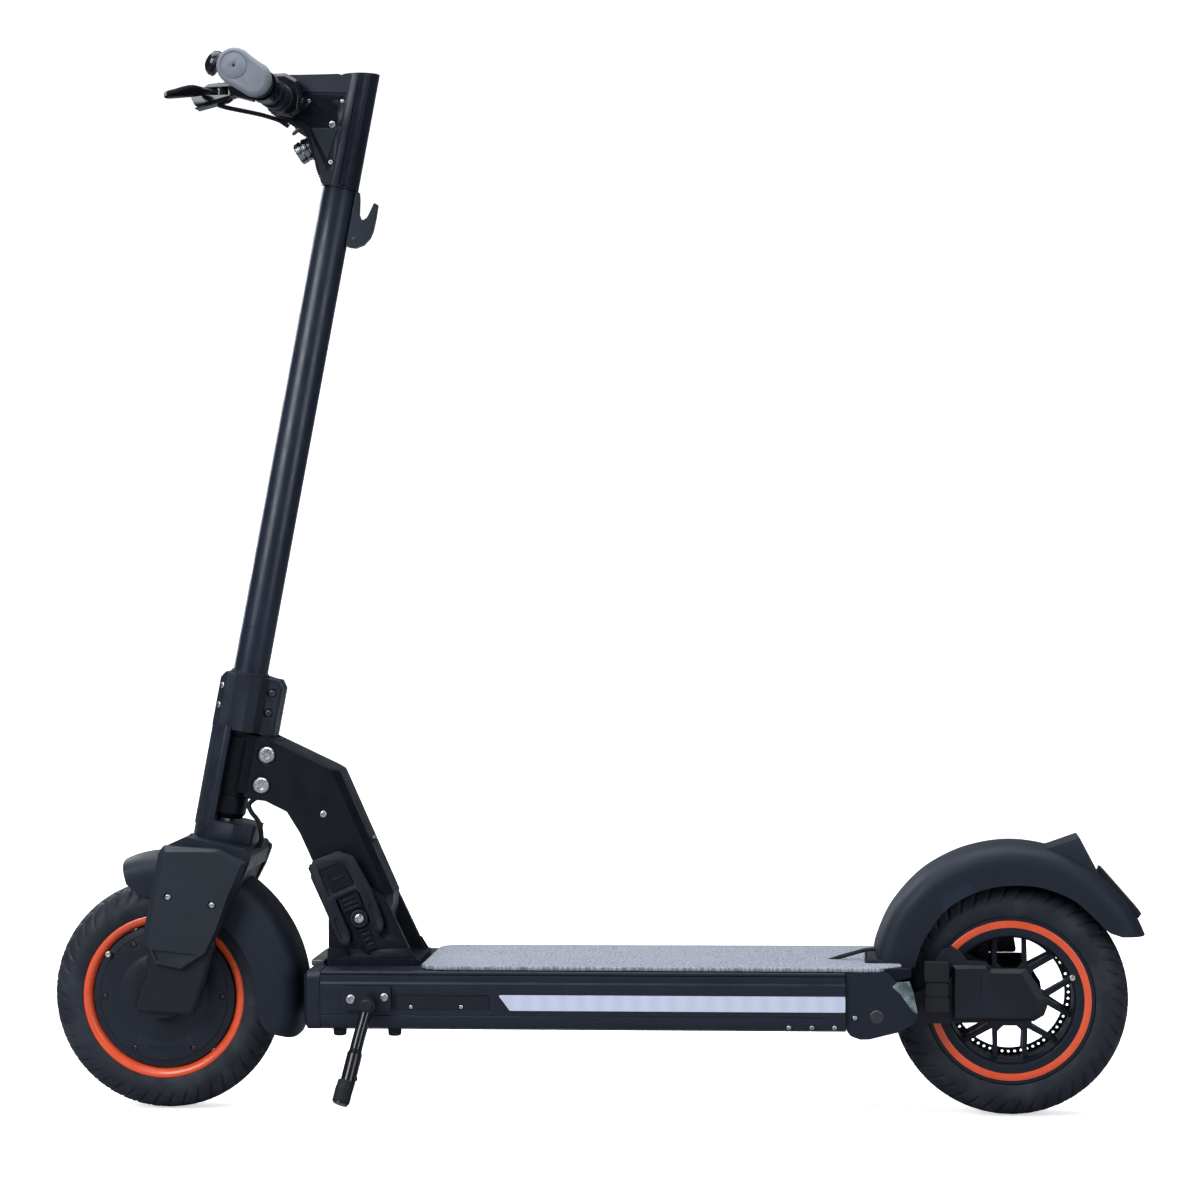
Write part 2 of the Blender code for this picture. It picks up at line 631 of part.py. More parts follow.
def build_rear_wheel(wheel):
    hub = turned([
        (6.4, -30), (17, -30), (20, -8), (67, -7), (68.5, -RIM_HALF_WIDTH), (RIM_R, -RIM_HALF_WIDTH),
        (RIM_R, RIM_HALF_WIDTH), (68.5, RIM_HALF_WIDTH), (67, 7), (20, 8), (17, 30), (6.4, 30),
    ], 32)
    rim_r, half = 65.8, 13.4
    side = math.sqrt(rim_r**2 - half**2)
    window = [(36, -half), (side, -half), (rim_r, 0), (side, half), (36, half), (30, 7), (30, -7)]
    spoke_edge = half + 5.1
    apex = spoke_edge / math.sin(math.radians(30))
    corner = math.radians(30) - math.asin(spoke_edge / rim_r)
    far, wide = rim_r * math.cos(corner), rim_r * math.sin(corner)
    triangle = [(apex, 0), (far, -wide), (rim_r, 0), (far, wide)]
    windows = ring_of(prism(window, -12, 12, "Z"), 6, math.radians(30))
    triangles = ring_of(prism(triangle, -12, 12, "Z"), 6)
    part(
        "rear_rim", across(hub, REAR_AXLE_X, AXLE_Z), "black_paint", wheel,
        cut=[across(windows, REAR_AXLE_X, AXLE_Z), across(triangles, REAR_AXLE_X, AXLE_Z)],
    )
    part("rear_tyre", across(tyre_shape(), REAR_AXLE_X, AXLE_Z), "rubber", wheel)
    disc = turned([(18, 32), (66, 32), (66, 34), (18, 34)], 32)
    gap = [(28, -10), (51, -23), (56, 0), (51, 23), (28, 10)]
    gaps = ring_of(prism(gap, 30, 40, "Z"), 6, math.radians(30))
    holes = ring_of(moved(rod(2.2, 30, 40, 5), Matrix.Translation((61.0, 0, 0))), 12)
    part(
        "brake_disc", across(disc, REAR_AXLE_X, AXLE_Z), "steel", wheel,
        cut=[across(gaps, REAR_AXLE_X, AXLE_Z), across(holes, REAR_AXLE_X, AXLE_Z)],
    )


# ---------------------------------------------------------------- rear suspension


def build_swing(swing):
    plate = [
        (306, 108), (304, 120), (310, 128), (360, 140), (400, 158), (440, 158), (470, 150), (482, 132),
        (478, 116), (462, 109), (380, 108),
    ]
    tube = across(rod(11.0, -57.5, 57.5), SWING_X, SWING_Z)
    axle_hole = across(rod(6.3, -80, 80), REAR_AXLE_X, AXLE_Z)
    part(
        "swing_arm", tube, "black_paint", swing,
        add=[prism(plate, -SWING_OUT, -SWING_IN), prism(plate, SWING_IN, SWING_OUT)],
        cut=[across(rod(5.3, -80, 80), SWING_X, SWING_Z), axle_hole],
    )
    axle = turned([
        (0, -56), (6, -56), (6, -45.6), (9, -45.6), (9, -30.5), (6, -30.5), (6, 35.5), (9, 35.5),
        (9, 45.6), (6, 45.6), (6, 56), (0, 56),
    ], 14)
    part("rear_axle", across(axle, REAR_AXLE_X, AXLE_Z), "steel", swing)
    cover = [
        (394, 111.6), (394, 170.4), (428.8, 170.6), (432, 165), (470.9, 165), (483, 151), (491.7, 138.9),
        (494.8, 128.2), (487.3, 112.2),
    ]
    rim = [(440 + (x - 440) * 0.9, 138 + (z - 138) * 0.86) for x, z in cover]
    shell = loft([
        [(x, -SWING_OUT - 0.4, z) for x, z in cover], [(x, -61, z) for x, z in cover],
        [(x, -65, z) for x, z in rim],
    ])
    pair("swing_cover", shell, "black_plastic", swing)
    block = [(365, 121), (391, 121), (391, 166), (386, 174), (368, 174), (365, 168)]
    pair("rubber_buffer", prism(block, -70, -SWING_OUT - 0.4), "rubber", swing)
    body = [(398, 172), (402, 192), (430, 195), (462, 191), (466, 172)]
    part(
        "brake_caliper", prism(body, 37.5, 56), "alloy", swing,
        add=[prism([(401, 160), (405, 196), (436, 196), (436, 160)], 28.7, 44)],
        cut=[prism([(380, 140), (490, 140), (490, 191), (380, 191)], 31.0, 35.0)],
    )


# ---------------------------------------------------------------- kickstand


def build_kickstand(deck, stand):
    block = box(-256, -206, STAND_Y + 0.4, -DECK_HALF_WIDTH - GAP, 125, 149)
    pin = aimed(rod(4.0, -1, 14, 16), (STAND_X, STAND_Y + 0.5, STAND_Z), (0, -1, 0))
    part("kickstand_bracket", block, "black_paint", deck, add=[pin])
    knuckle = aimed(rod(9.0, 0.2, 12, 20), (STAND_X, STAND_Y, STAND_Z), (0, -1, 0))
    path = [(-229, -107, 128), (-233, -114, 112), (-239, -128, 82), (-246, -144, 50), (-250, -150, 38)]
    foot = aimed(rod(9.5, 0, 24, 16), (-246, -143, 56), (-0.24, -0.4, -1.1))
    bore = aimed(rod(4.3, -5, 20, 16), (STAND_X, STAND_Y, STAND_Z), (0, -1, 0))
    part("kickstand_leg", knuckle, "gloss_black", stand, add=[swept(path, 6.5, 10), foot], cut=[bore])


STEM_WORLD = at_point(STEM_FOOT_X, 0, 0) @ Matrix.Rotation(STEM_LEAN, 4, "Y")
STEM_MM = Matrix.Translation((STEM_FOOT_X, 0, 0)) @ Matrix.Rotation(STEM_LEAN, 4, "Y")


def build_scooter():
    deck = frame("deck_frame")
    neck = frame("fold_axis", at_point(FOLD_X, 0, FOLD_Z))
    steer = frame("steering_axis", STEM_WORLD)
    swing = frame("swing_axis", at_point(SWING_X, 0, SWING_Z))
    stand = frame("kickstand_axis", at_point(STAND_X, STAND_Y, STAND_Z))
    build_deck(deck)
    build_rear_casting(deck)
    build_rear_fender(deck)
    build_fold_bracket(deck)
    build_kickstand(deck, stand)
    build_latch(frame("latch_slide", at_point(FOLD_X, 0, FOLD_Z)))
    build_neck(neck)
    build_fork(steer)
    build_head(steer)
    build_handlebar(steer)
    build_controls(
        frame("brake_lever_axis", at_point(-368, -131, 1081)),
        frame("throttle_axis", at_point(BAR_X, 0, BAR_Z)),
        frame("button_slide", at_point(-245, 0, 1134)),
        frame("bell_lever_axis", at_point(-338, -80, 1126)),
    )
    build_front_wheel(frame("front_wheel_axis", at_point(FRONT_AXLE_X, 0, AXLE_Z)))
    build_swing(swing)
    build_rear_wheel(frame("rear_wheel_axis", at_point(REAR_AXLE_X, 0, AXLE_Z)))


clear_scene()
build_scooter()
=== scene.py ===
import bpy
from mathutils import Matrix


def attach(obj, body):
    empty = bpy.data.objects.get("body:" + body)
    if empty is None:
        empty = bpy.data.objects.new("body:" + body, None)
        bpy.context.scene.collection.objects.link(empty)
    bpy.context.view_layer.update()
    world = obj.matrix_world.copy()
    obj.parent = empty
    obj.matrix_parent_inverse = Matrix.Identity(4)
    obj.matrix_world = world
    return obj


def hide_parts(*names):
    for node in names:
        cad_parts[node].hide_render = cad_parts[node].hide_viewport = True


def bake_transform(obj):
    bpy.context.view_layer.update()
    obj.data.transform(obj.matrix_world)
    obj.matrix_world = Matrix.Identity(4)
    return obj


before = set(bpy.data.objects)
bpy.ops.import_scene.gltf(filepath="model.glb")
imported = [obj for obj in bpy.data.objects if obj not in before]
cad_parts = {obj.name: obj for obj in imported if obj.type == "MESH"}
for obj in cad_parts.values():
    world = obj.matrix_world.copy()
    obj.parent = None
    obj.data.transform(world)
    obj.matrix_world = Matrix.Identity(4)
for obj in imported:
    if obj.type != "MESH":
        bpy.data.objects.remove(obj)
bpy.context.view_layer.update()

import math

import bmesh
import bpy
from mathutils import Matrix, Vector

# Electric kick scooter. Shapes are drawn in millimetres in the row frame: -X is the front, +Z up.
# Steering pieces are drawn in the stem's own frame: t behind the steering axis, y across, s up it.

MM = 0.001

TYRE_R, TYRE_HALF_WIDTH = 127.0, 31.0
AXLE_Z = 127.0
FRONT_AXLE_X, REAR_AXLE_X = -470.4, 457.2

STEM_LEAN = math.radians(11.36)
STEM_FOOT_X = -471.0
STEM_R = 19.0
HEAD_LOW = 1036.0
CLAMP_LOW, CLAMP_HIGH = 430.0, 491.0
CROWN_TOP = 307.3
AXLE_T, AXLE_S = -24.4, 124.6

FOLD_X, FOLD_Z = -247.1, 216.1
ARM_HALF_WIDTH = 33.0
WALL_IN, WALL_OUT = 35.0, 43.0

DECK_FRONT, DECK_REAR = -302.1, 281.4
DECK_HALF_WIDTH = 90.0
DECK_LOW, DECK_HIGH = 101.5, 165.0
MAT_TOP = 170.0
TUB_FRONT, TUB_TOP = DECK_FRONT + 19.4, DECK_HIGH - 4.3

SWING_X, SWING_Z = 314.0, 118.0
BAR_X, BAR_Z = -323.6, 1109.4
BAR_R, BAR_END = 11.5, 262.0
GRIP_IN, GRIP_OUT = 150.0, 270.0
BELL_PIVOT = (-338.0, 1124.5)
STAND_X, STAND_Y, STAND_Z = -228.3, -101.0, 132.0

LEFT, RIGHT = (0, -1, 0), (0, 1, 0)
STEM = Matrix.Translation((STEM_FOOT_X, 0, 0)) @ Matrix.Rotation(STEM_LEAN, 4, "Y")

HEAD_HALF_WIDTH = 19.8
HEAD_PANEL_Y = -17.6
HEAD_SCREWS = [
    ((-297.2, HEAD_PANEL_Y, 1109.7), LEFT, 2.4), ((-259.8, HEAD_PANEL_Y, 1108.7), LEFT, 2.4),
    ((-271.2, HEAD_PANEL_Y, 1083.5), LEFT, 4.0), ((-273.4, HEAD_PANEL_Y, 1042.3), LEFT, 2.8),
]
HEADLIGHT_SEAT, HEADLIGHT_AIM = Vector((-297.9, 0, 1061.8)), Vector((-0.877, 0, -0.48))


# ---------------------------------------------------------------- shapes: (points, faces)


def prism(outline, low, high, axis="Y"):
    place = {
        "X": lambda a, b, level: (level, a, b),
        "Y": lambda a, b, level: (a, level, b),
        "Z": lambda a, b, level: (a, b, level),
    }[axis]
    count = len(outline)
    points = [place(a, b, level) for level in (low, high) for a, b in outline]
    faces = [tuple(range(count)), tuple(range(count, 2 * count))]
    for i in range(count):
        j = (i + 1) % count
        faces.append((i, j, count + j, count + i))
    return points, faces


def symmetric(half):
    """The half outline and its mirror image across the second coordinate, walked back to the start."""
    return half + [(a, -b) for a, b in half[::-1]]


def box(x0, x1, y0, y1, z0, z1):
    return prism([(x0, z0), (x1, z0), (x1, z1), (x0, z1)], y0, y1)


def rounded(outline, radius, steps=5):
    """The outline with each corner turned into an arc, smaller where its edges are short."""
    result = []
    count = len(outline)
    for i in range(count):
        before, here, after = (Vector(outline[k % count]) for k in (i - 1, i, i + 1))
        back, ahead = (before - here), (after - here)
        half = back.angle(ahead) / 2
        if half > math.radians(86):
            result.append(tuple(here))
            continue
        reach = min(radius / math.tan(half), back.length * 0.45, ahead.length * 0.45)
        start, end = here + back.normalized() * reach, here + ahead.normalized() * reach
        for k in range(steps + 1):
            f = k / steps
            result.append(tuple(start * (1 - f) ** 2 + here * 2 * f * (1 - f) + end * f ** 2))
    return result


def loft(sections, closed=False):
    """A skin through loops with equal numbers of points, closed by end faces or round on itself."""
    count = len(sections[0])
    rows = len(sections)
    points = [point for section in sections for point in section]
    faces = []
    if not closed:
        last = count * (rows - 1)
        faces = [tuple(range(count)), tuple(range(last, last + count))]
    for row in range(rows if closed else rows - 1):
        a, b = row * count, (row + 1) % rows * count
        for i in range(count):
            j = (i + 1) % count
            faces.append((a + i, a + j, b + j, b + i))
    return points, faces


def full_circle(steps):
    return [2 * math.pi * k / steps for k in range(steps)]


def turned(profile, steps=64):
    """The profile of (radius, along) turned about +Z: a ring, or a solid when both ends are on the axis."""
    solid = profile[0][0] == 0 and profile[-1][0] == 0
    rows = profile[1:-1] if solid else profile
    loops = []
    for radius, along in rows:
        loops.append([(radius * math.cos(a), radius * math.sin(a), along) for a in full_circle(steps)])
    return loft(loops, closed=not solid)


def rod(radius, low, high, steps=32):
    return turned([(0, low), (radius, low), (radius, high), (0, high)], steps)


def pipe(inner, outer, low, high, steps=48):
    return turned([(inner, low), (outer, low), (outer, high), (inner, high)], steps)


def smooth_path(path, steps=8):
    """A Catmull-Rom curve through the points."""
    path = [Vector(p) for p in path]
    ends = [path[0] * 2 - path[1]] + path + [path[-1] * 2 - path[-2]]
    result = []
    for a, b, c, d in zip(ends, ends[1:], ends[2:], ends[3:]):
        for k in range(steps):
            f = k / steps
            result.append(0.5 * (2 * b + (c - a) * f + (2 * a - 5 * b + 4 * c - d) * f ** 2
                                 + (3 * b - 3 * c + d - a) * f ** 3))
    return result + [path[-1]]


def swept(path, radius, sides=14):
    """A round bar along a path. The radius may be a function of the share of the way along."""
    path = [Vector(p) for p in path]
    loops, side = [], None
    for i, point in enumerate(path):
        ahead = (path[min(i + 1, len(path) - 1)] - path[max(i - 1, 0)]).normalized()
        side = side or ahead.orthogonal().normalized()
        side = (side - side.dot(ahead) * ahead).normalized()
        up = ahead.cross(side)
        r = radius(i / (len(path) - 1)) if callable(radius) else radius
        loops.append([point + r * (math.cos(a) * side + math.sin(a) * up) for a in full_circle(sides)])
    return loft(loops)


def moved(shape, matrix):
    points, faces = shape
    return [matrix @ Vector(p) for p in points], faces


def aimed(shape, centre, direction):
    """The shape with its +Z turned to the direction and its origin moved to the centre."""
    turn = Vector((0, 0, 1)).rotation_difference(Vector(direction)).to_matrix().to_4x4()
    return moved(shape, Matrix.Translation(Vector(centre)) @ turn)


def across(shape, x, z):
    """The shape with its +Z turned to +Y, about the line through (x, z)."""
    return aimed(shape, (x, 0, z), RIGHT)


def mirrored(shape):
    points, faces = shape
    return [(p[0], -p[1], p[2]) for p in points], [face[::-1] for face in faces]


def together(*shapes):
    points, faces = [], []
    for more_points, more_faces in shapes:
        start = len(points)
        points += list(more_points)
        faces += [tuple(start + i for i in face) for face in more_faces]
    return points, faces


def ring_of(shape, count, first=0.0):
    """Copies of the shape spaced evenly about +Z."""
    turns = [Matrix.Rotation(first + 2 * math.pi * k / count, 4, "Z") for k in range(count)]
    return together(*(moved(shape, turn) for turn in turns))


def arc(x, z, radius, steps, start, end):
    turns = [math.radians(start + (end - start) * k / (steps - 1)) for k in range(steps)]
    return [(x + radius * math.cos(a), z + radius * math.sin(a)) for a in turns]


def capsule(x0, z0, x1, z1, radius):
    """The outline of a slot from one centre to the other."""
    slope = math.degrees(math.atan2(z1 - z0, x1 - x0))
    return arc(x0, z0, radius, 8, slope + 90, slope + 270) + arc(x1, z1, radius, 8, slope - 90, slope + 90)


def socket_screw(radius, height=None):
    """A button-head screw standing on z=0, with a hexagonal socket."""
    height = height or radius * 0.55
    outer = [(radius, -0.6), (radius, height * 0.45), (radius * 0.9, height * 0.8), (radius * 0.68, height)]
    steps = 24
    loops = []
    for r, along in outer:
        loops.append([(r * math.cos(a), r * math.sin(a), along) for a in full_circle(steps)])
    for share, along in ((0.52, height), (0.5, height * 0.25)):
        loop = []
        for a in full_circle(steps):
            r = radius * share * math.cos(math.pi / 6) / math.cos(a % (math.pi / 3) - math.pi / 6)
            loop.append((r * math.cos(a), r * math.sin(a), along))
        loops.append(loop)
    return loft(loops)


# ---------------------------------------------------------------- materials


class Nodes:
    """A Principled material with a few shorthands for adding procedural detail to it."""

    def __init__(self, name, colour, roughness, metallic=0.0):
        self.material = bpy.data.materials.new(name)
        self.material.use_nodes = True
        self.material.diffuse_color = (*colour, 1)
        self.tree = self.material.node_tree
        self.shader = self.tree.nodes["Principled BSDF"]
        self.shader.inputs["Base Color"].default_value = (*colour, 1)
        self.shader.inputs["Roughness"].default_value = roughness
        self.shader.inputs["Metallic"].default_value = metallic
        self.place = self.tree.nodes.new("ShaderNodeTexCoord").outputs["Object"]
        self.height = None

    def put(self, node, key, value):
        socket = node.inputs[key]
        if hasattr(value, "is_output"):
            self.tree.links.new(value, socket)
        else:
            socket.default_value = value

    def noise(self, scale, detail=2.0, stretch=None):
        node = self.tree.nodes.new("ShaderNodeTexNoise")
        self.put(node, "Vector", self.stretched(stretch) if stretch else self.place)
        self.put(node, "Scale", scale)
        self.put(node, "Detail", detail)
        return node.outputs["Fac"]

    def stretched(self, scale):
        node = self.tree.nodes.new("ShaderNodeMapping")
        self.put(node, "Vector", self.place)
        self.put(node, "Scale", scale)
        return node.outputs["Vector"]

    def voronoi(self, scale, feature="F1", stretch=None):
        node = self.tree.nodes.new("ShaderNodeTexVoronoi")
        node.feature = feature
        self.put(node, "Vector", self.stretched(stretch) if stretch else self.place)
        self.put(node, "Scale", scale)
        return node.outputs["Distance"]

    def wave(self, scale, direction="X", stretch=None):
        node = self.tree.nodes.new("ShaderNodeTexWave")
        node.bands_direction = direction
        self.put(node, "Vector", self.stretched(stretch) if stretch else self.place)
        self.put(node, "Scale", scale)
        return node.outputs["Fac"]

    def math(self, kind, a, b):
        node = self.tree.nodes.new("ShaderNodeMath")
        node.operation = kind
        self.put(node, 0, a)
        self.put(node, 1, b)
        return node.outputs[0]

    def ramp(self, value, low, high, start=0.3, end=0.7):
        node = self.tree.nodes.new("ShaderNodeMapRange")
        self.put(node, "Value", value)
        for key, number in (("From Min", start), ("From Max", end), ("To Min", low), ("To Max", high)):
            self.put(node, key, number)
        return node.outputs["Result"]

    def mix(self, share, first, second):
        node = self.tree.nodes.new("ShaderNodeMix")
        node.data_type = "RGBA"
        self.put(node, 0, share)
        self.put(node, 6, first if hasattr(first, "is_output") else (*first, 1))
        self.put(node, 7, second if hasattr(second, "is_output") else (*second, 1))
        return node.outputs[2]

    def edges(self, colour, share=0.5):
        """Paints a highlight on sharp edges: the current base colour is lightened where the mesh is pointy.
        """
        geometry = self.tree.nodes.new("ShaderNodeNewGeometry")
        edge_highlight_share = self.ramp(geometry.outputs["Pointiness"], 0.0, share, 0.53, 0.62)
        self.colour(self.mix(edge_highlight_share, self.base(), colour))

    def base(self):
        links = self.shader.inputs["Base Color"].links
        return links[0].from_socket if links else tuple(self.shader.inputs["Base Color"].default_value)[:3]

    def colour(self, socket):
        self.put(self.shader, "Base Color", socket)

    def rough(self, socket):
        self.put(self.shader, "Roughness", socket)

    def bump(self, height, distance, strength=1.0):
        """Adds a height in metres on top of any bump there already."""
        node = self.tree.nodes.new("ShaderNodeBump")
        self.put(node, "Height", height)
        self.put(node, "Distance", distance)
        self.put(node, "Strength", strength)
        if self.height:
            self.put(node, "Normal", self.height)
        self.height = node.outputs["Normal"]
        self.put(self.shader, "Normal", self.height)


def powder_coat(name, colour, roughness=0.40, orange_peel=0.00006, gloss=0.36):
    m = Nodes(name, colour, roughness)
    m.put(m.shader, "Specular IOR Level", gloss)
    cloudy = m.noise(14, 4)
    lighter = tuple(c * 1.35 for c in colour)
    m.colour(m.mix(m.ramp(cloudy, 0.0, 1.0, 0.35, 0.7), colour, lighter))
    m.rough(m.ramp(m.noise(55, 5), roughness - 0.07, roughness + 0.08))
    m.bump(m.noise(650, 2), orange_peel)
    # painted highlight: sharp edges are lightened towards three times the paint colour
    m.edges(tuple(c * 3.0 for c in colour), 0.55)
    return m.material


def moulded_plastic(name, colour, roughness=0.5, grain=0.00005):
    m = Nodes(name, colour, roughness)
    m.put(m.shader, "Specular IOR Level", 0.32)
    m.colour(m.mix(m.ramp(m.noise(9, 3), 0.0, 1.0, 0.3, 0.75), colour, tuple(c * 1.25 for c in colour)))
    m.rough(m.ramp(m.noise(40, 4), roughness - 0.05, roughness + 0.08))
    m.bump(m.voronoi(1300), grain)
    # painted highlight: sharp edges are lightened towards 2.6 times the plastic colour
    m.edges(tuple(c * 2.6 for c in colour), 0.5)
    return m.material


def tyre_rubber(name):
    m = Nodes(name, (0.013, 0.014, 0.016), 0.62)
    m.put(m.shader, "Specular IOR Level", 0.3)
    dust = m.ramp(m.noise(26, 8), 0.0, 0.5, 0.48, 0.75)
    m.colour(m.mix(dust, (0.0125, 0.0150, 0.0225), (0.050, 0.055, 0.070)))
    m.rough(m.ramp(m.noise(60, 5), 0.48, 0.78))
    m.bump(m.noise(420, 6), 0.00022)
    return m.material


def soft_rubber(name, colour, roughness=0.7):
    m = Nodes(name, colour, roughness)
    m.put(m.shader, "Specular IOR Level", 0.3)
    m.colour(m.mix(m.ramp(m.noise(18, 4), 0.0, 1.0), colour, tuple(c * 1.2 for c in colour)))
    m.bump(m.voronoi(900), 0.00012)
    m.rough(m.ramp(m.noise(70, 3), roughness - 0.08, roughness + 0.1))
    return m.material


def grip_rubber(name):
    m = Nodes(name, (0.205, 0.215, 0.240), 0.62)
    m.colour(m.mix(m.ramp(m.noise(22, 5), 0.0, 1.0), (0.135, 0.147, 0.172), (0.190, 0.205, 0.235)))
    weave = m.math("MULTIPLY", m.wave(180, "X", (1, 1, 1)), m.wave(180, "Y", (1, 1, 1)))
    m.bump(weave, 0.00018)
    m.bump(m.noise(1500, 2), 0.00004)
    return m.material


def mat_rubber(name):
    """Grey foot mat: raised rows of small hexagonal cells, speckled on top and darker in the grooves between
    them.
    """
    m = Nodes(name, (0.33, 0.33, 0.37), 0.8)
    cells = m.voronoi(210, "DISTANCE_TO_EDGE", (1.0, 1.0, 0.01))
    raised = m.ramp(cells, 0.0, 1.0, 0.02, 0.12)
    speckle = m.ramp(m.noise(900, 3), 0.0, 1.0, 0.42, 0.62)
    speckled_tops = m.mix(speckle, (0.25, 0.265, 0.31), (0.39, 0.405, 0.46))
    wide = m.ramp(m.noise(7, 6), 0.0, 0.45, 0.4, 0.7)
    # the grooves between the cells are coloured darker than the speckled cell tops
    m.colour(m.mix(wide, m.mix(raised, (0.15, 0.158, 0.19), speckled_tops), (0.29, 0.30, 0.34)))
    m.bump(raised, 0.0005)
    m.bump(m.noise(1600, 3), 0.00012)
    m.rough(m.ramp(m.noise(30, 4), 0.7, 0.9))
    return m.material


def orange_paint(name):
    m = Nodes(name, (0.80, 0.105, 0.035), 0.32)
    m.colour(m.mix(m.ramp(m.noise(30, 5), 0.0, 1.0), (0.76, 0.072, 0.018), (0.86, 0.110, 0.034)))
    m.put(m.shader, "Coat Weight", 0.35)
    m.put(m.shader, "Coat Roughness", 0.15)
    m.bump(m.noise(800, 2), 0.00003)
    m.rough(m.ramp(m.noise(90, 4), 0.26, 0.42))
    return m.material


def bright_steel(name, roughness=0.28, colour=(0.62, 0.62, 0.64)):
    m = Nodes(name, colour, roughness, 1.0)
    m.colour(m.mix(m.ramp(m.noise(120, 5), 0.0, 1.0, 0.4, 0.7), colour, tuple(c * 0.7 for c in colour)))
    m.rough(m.ramp(m.noise(400, 4), roughness - 0.1, roughness + 0.15))
    m.bump(m.noise(1500, 3, (1, 1, 14)), 0.00003)
    return m.material


def disc_steel(name):
    """Ground steel whose grinding marks run round the wheel."""
    m = Nodes(name, (0.06, 0.06, 0.065), 0.35, 1.0)
    m.bump(m.noise(900, 2, (1, 0.1, 1)), 0.00004)
    m.rough(m.ramp(m.noise(200, 6), 0.25, 0.5))
    return m.material


def light_diffuser(name):
    """Milky strip with a soft glow and the faint rhythm of the lamps behind it."""
    m = Nodes(name, (0.72, 0.74, 0.88), 0.35)
    lamps = m.wave(16, "X")
    m.colour(m.mix(m.ramp(lamps, 0.0, 1.0, 0.1, 0.9), (0.49, 0.52, 0.65), (0.52, 0.55, 0.68)))
    m.put(m.shader, "Emission Color", (0.75, 0.78, 1.0, 1))
    m.put(m.shader, "Emission Strength", m.ramp(lamps, 0.08, 0.10, 0.0, 1.0))
    m.bump(m.noise(500, 2), 0.00005)
    return m.material


def dark_glass(name, colour=(0.006, 0.007, 0.009)):
    m = Nodes(name, colour, 0.14)
    m.put(m.shader, "Specular IOR Level", 0.4)
    m.rough(m.ramp(m.noise(35, 6), 0.10, 0.24, 0.4, 0.7))
    m.bump(m.noise(60, 2), 0.00001)
    return m.material


def red_reflector(name):
    m = Nodes(name, (0.35, 0.010, 0.012), 0.12)
    m.put(m.shader, "Coat Weight", 1.0)
    m.bump(m.voronoi(420), 0.0006)
    m.colour(m.mix(m.ramp(m.voronoi(420), 0.0, 1.0, 0.0, 0.6), (0.50, 0.012, 0.015), (0.14, 0.004, 0.006)))
    return m.material


def pale_marker(name):
    """Pale grey-green reflective wedge with a prismatic surface."""
    m = Nodes(name, (0.26, 0.36, 0.35), 0.3)
    m.colour(m.mix(m.ramp(m.noise(90, 6), 0.0, 1.0, 0.35, 0.65), (0.055, 0.075, 0.080), (0.22, 0.28, 0.29)))
    m.bump(m.voronoi(520), 0.0005)
    return m.material


def wrapped_cells(name, colour):
    m = Nodes(name, colour, 0.35)
    m.bump(m.noise(60, 5), 0.0006)
    m.colour(m.mix(m.ramp(m.noise(12, 5), 0.0, 1.0), colour, tuple(c * 1.5 for c in colour)))
    return m.material


PAINT = powder_coat("satin_black_paint", (0.0052, 0.0078, 0.0155))
STEM_PAINT = powder_coat("stem_black_paint", (0.0066, 0.0098, 0.0190), 0.34, 0.00003)
ARM_PAINT = powder_coat("arm_black_paint", (0.0018, 0.0030, 0.0066), 0.40, gloss=0.22)
# painted shade: the head's paint is darker than the deck's black paint, to darken the lit head
HEAD_SHADED_PAINT = powder_coat("head_black_paint_shaded", (0.0034, 0.0050, 0.0100), 0.36, gloss=0.26)
PLASTIC = moulded_plastic("black_plastic", (0.0040, 0.0056, 0.0105))
COVER = moulded_plastic("fork_cover_plastic", (0.0108, 0.0145, 0.0215), 0.50)
FENDER = moulded_plastic("fender_plastic", (0.0050, 0.0078, 0.0160), 0.58)
TYRE = tyre_rubber("tyre_rubber")
RUBBER = soft_rubber("black_rubber", (0.007, 0.0075, 0.010))
GRIP = grip_rubber("grey_grip_rubber")
MAT = mat_rubber("grey_mat_rubber")
ORANGE = orange_paint("orange_paint")
STEEL = bright_steel("zinc_steel")
DARK_STEEL = bright_steel("black_oxide_steel", 0.4, (0.10, 0.10, 0.11))
DISC = disc_steel("ground_disc_steel")
ALLOY = bright_steel("cast_alloy", 0.45, (0.16, 0.165, 0.175))
CHROME = bright_steel("dark_chrome", 0.16, (0.30, 0.31, 0.34))
BRASS = bright_steel("valve_brass", 0.25, (0.74, 0.68, 0.54))
STRIP = light_diffuser("side_light_diffuser")
GLASS = dark_glass("gloss_black")
RED = red_reflector("red_lens")
MARKER = pale_marker("rear_side_marker")


# ---------------------------------------------------------------- pieces


def mesh_object(name, shape, matrix=None):
    points, faces = shape
    bm = bmesh.new()
    for p in points:
        bm.verts.new((matrix @ Vector(p) if matrix else Vector(p)) * MM)
    bm.verts.ensure_lookup_table()
    for face in faces:
        bm.faces.new([bm.verts[i] for i in face])
    bmesh.ops.recalc_face_normals(bm, faces=bm.faces)
    mesh = bpy.data.meshes.new(name)
    bm.to_mesh(mesh)
    bm.free()
    obj = bpy.data.objects.new(name, mesh)
    bpy.context.scene.collection.objects.link(obj)
    return obj


def settle(obj):
    """Replaces the object's mesh with what its modifiers make of it."""
    graph = bpy.context.evaluated_depsgraph_get()
    made = bpy.data.meshes.new_from_object(obj.evaluated_get(graph))
    obj.modifiers.clear()
    obj.data = made


